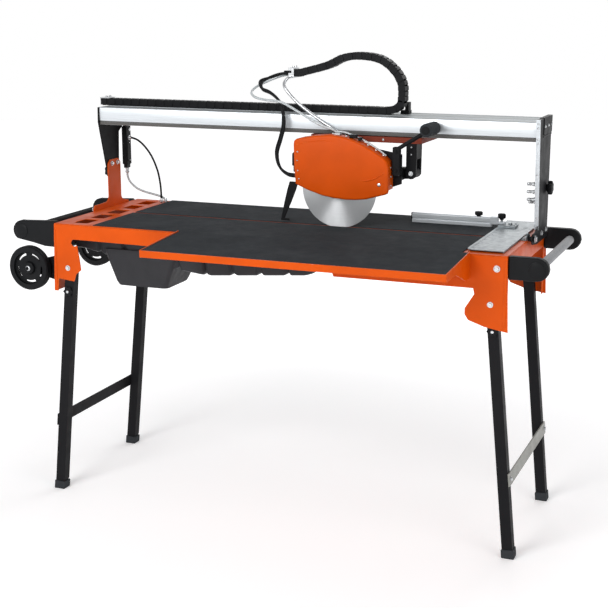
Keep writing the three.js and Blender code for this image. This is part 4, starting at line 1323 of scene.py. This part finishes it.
def guard_latch(bm):
    box(bm, (-16, -4), (-20, 0), (1120, 1156))
    lathe(bm, [(8, 0), (8, 6), (5, 10)], at(-10, -12, 1152), UP, 20)
    box(bm, (-13, -5), (-16, -4), (1100, 1122))
    box(bm, (176, 200), (-18, 0), (1216, 1226))
    box(bm, (206, 216), (-18, 0), (1208, 1218))


piece("guard_latch", guard_latch, "black_plastic", "saw_head", 1.2)


def saw_disc(bm):
    """A thin core with a slightly thicker continuous diamond rim."""
    for section in (
        ((10.3, -0.8), (117.5, -0.8), (117.5, 0.8), (10.3, 0.8)),
        ((117, -1), (BLADE_RADIUS - 0.4, -1), (BLADE_RADIUS, 0), (BLADE_RADIUS - 0.4, 1), (117, 1)),
    ):
        rings = [[Vector((r * math.cos(a), h, r * math.sin(a))) * MM for a in turn(144)] for r, h in section]
        loft(bm, [*rings, rings[0]], caps=False)


def turn(count):
    return [2 * math.pi * k / count for k in range(count)]


disc = piece("saw_disc", saw_disc, "steel", None, 0, ["blade"])
disc.data.materials[0] = MATERIALS["blade_steel"]
disc.location = at(HEAD_X, 0, BLADE_Z)
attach(disc, "saw_blade")
carry_over("steel", 0.4, "blade_spindle")


MOTOR_FACE = 14.3  # the motor's front flange, in Y


def motor_body(bm):
    """A finned housing, a fan cowl with a slotted end, and a terminal box."""
    centre = at(HEAD_X, MOTOR_FACE, BLADE_Z)
    lathe(bm, [(48, 0), (51, 3), (51, 12), (46, 14), (46, 134), (51, 136), (51, 148)], centre, REAR, 56)
    cowl = [(47, 147), (49.5, 149), (49.5, 168), (44, 176), (30, 178), (29, 174), (6, 174)]
    lathe(bm, cowl, centre, REAR, 56)
    for k in range(32):
        angle = 2 * math.pi * k / 32
        out = Vector((math.cos(angle), 0, math.sin(angle)))
        side = Vector((-out.z, 0, out.x))
        corners = [out * a + side * b for a, b in ((45, -1), (50.6, -0.6), (50.6, 0.6), (45, 1))]
        loft(bm, [[centre + (p + REAR * y) * MM for p in corners] for y in (14, 134)])
    box(bm, (HEAD_X - 32, HEAD_X + 32), (46, 122), (BLADE_Z + 40, BLADE_Z + 72))


def motor_screws(bm):
    for x in (-26, 26):
        for y in (52, 116):
            screw(bm, at(HEAD_X + x, y, BLADE_Z + 72), UP, 3)
    for k in range(4):
        a = math.pi / 4 + k * math.pi / 2
        bolt(bm, at(HEAD_X + 44 * math.cos(a), 192.2, BLADE_Z + 44 * math.sin(a)), REAR, 3, 2, washer=False)


piece("motor_housing", motor_body, "black_paint", "saw_head", 0.6, ["motor"])
piece("motor_screws", motor_screws, "steel", "saw_head", 0)


GRIP = (440, 1253)  # the middle of the lever's grip


def lever(bm):
    start, end = at(332, -6, 1186), at(430, -6, 1247)
    sweep(bm, [start + (end - start) * (k / 6) for k in range(7)], 6.5, 20)
    box(bm, (318, 340), (-14, 8), (1104, 1192))


def lever_grip(bm):
    profile = [(8, -71), (17, -70), (20, -67), (20.5, -62)]
    for k in range(9):
        y = -56 + k * 9
        profile += [(20.5, y), (19.4, y + 1.4), (19.4, y + 3), (20.5, y + 4.4)]
    profile += [(20.5, 22), (19, 26), (15, 28), (8, 28)]
    lathe(bm, profile, at(GRIP[0], 0, GRIP[1]), REAR, 40)


def lever_end(bm):
    """The grip's end discs, and the bolts that hold the lever to the head."""
    for side, way in ((-72, FRONT), (28, REAR)):
        lathe(bm, [(13, 0), (13, 0.8), (9, 1.2)], at(GRIP[0], side, GRIP[1]), way, 28)
    for z in (1178, 1120):
        bolt(bm, at(329, -14, z), FRONT, 4.5, 3)


piece("lever_bar", lever, "black_paint", "saw_head", 1.0, ["head_lever"])
piece("lever_grip", lever_grip, "rubber", "saw_head", 0)
piece("lever_end_discs", lever_end, "black_plastic", "saw_head", 0)


def flap(bm):
    """A flexible splash guard that tapers down, with a flat black block lying across its lower end just over
    the table.
    """
    rows = [(-2, -32, 1066), (-10, -40, 1040), (-26, -50, 1000), (-42, -57, 965), (-50, -61, 945)]
    rings = []
    for right, left, z in rows:
        half = 2.4
        rings.append([at(left, -half, z), at(right, -half, z), at(right, half, z), at(left, half, z)])
    loft(bm, rings)
    box(bm, (-62, -32), (-2.4, 2.4), (TABLE_TOP + 7, 946))


piece("rubber_flap", flap, "black_plastic", "saw_head", 0.8, ["splash_flap"])
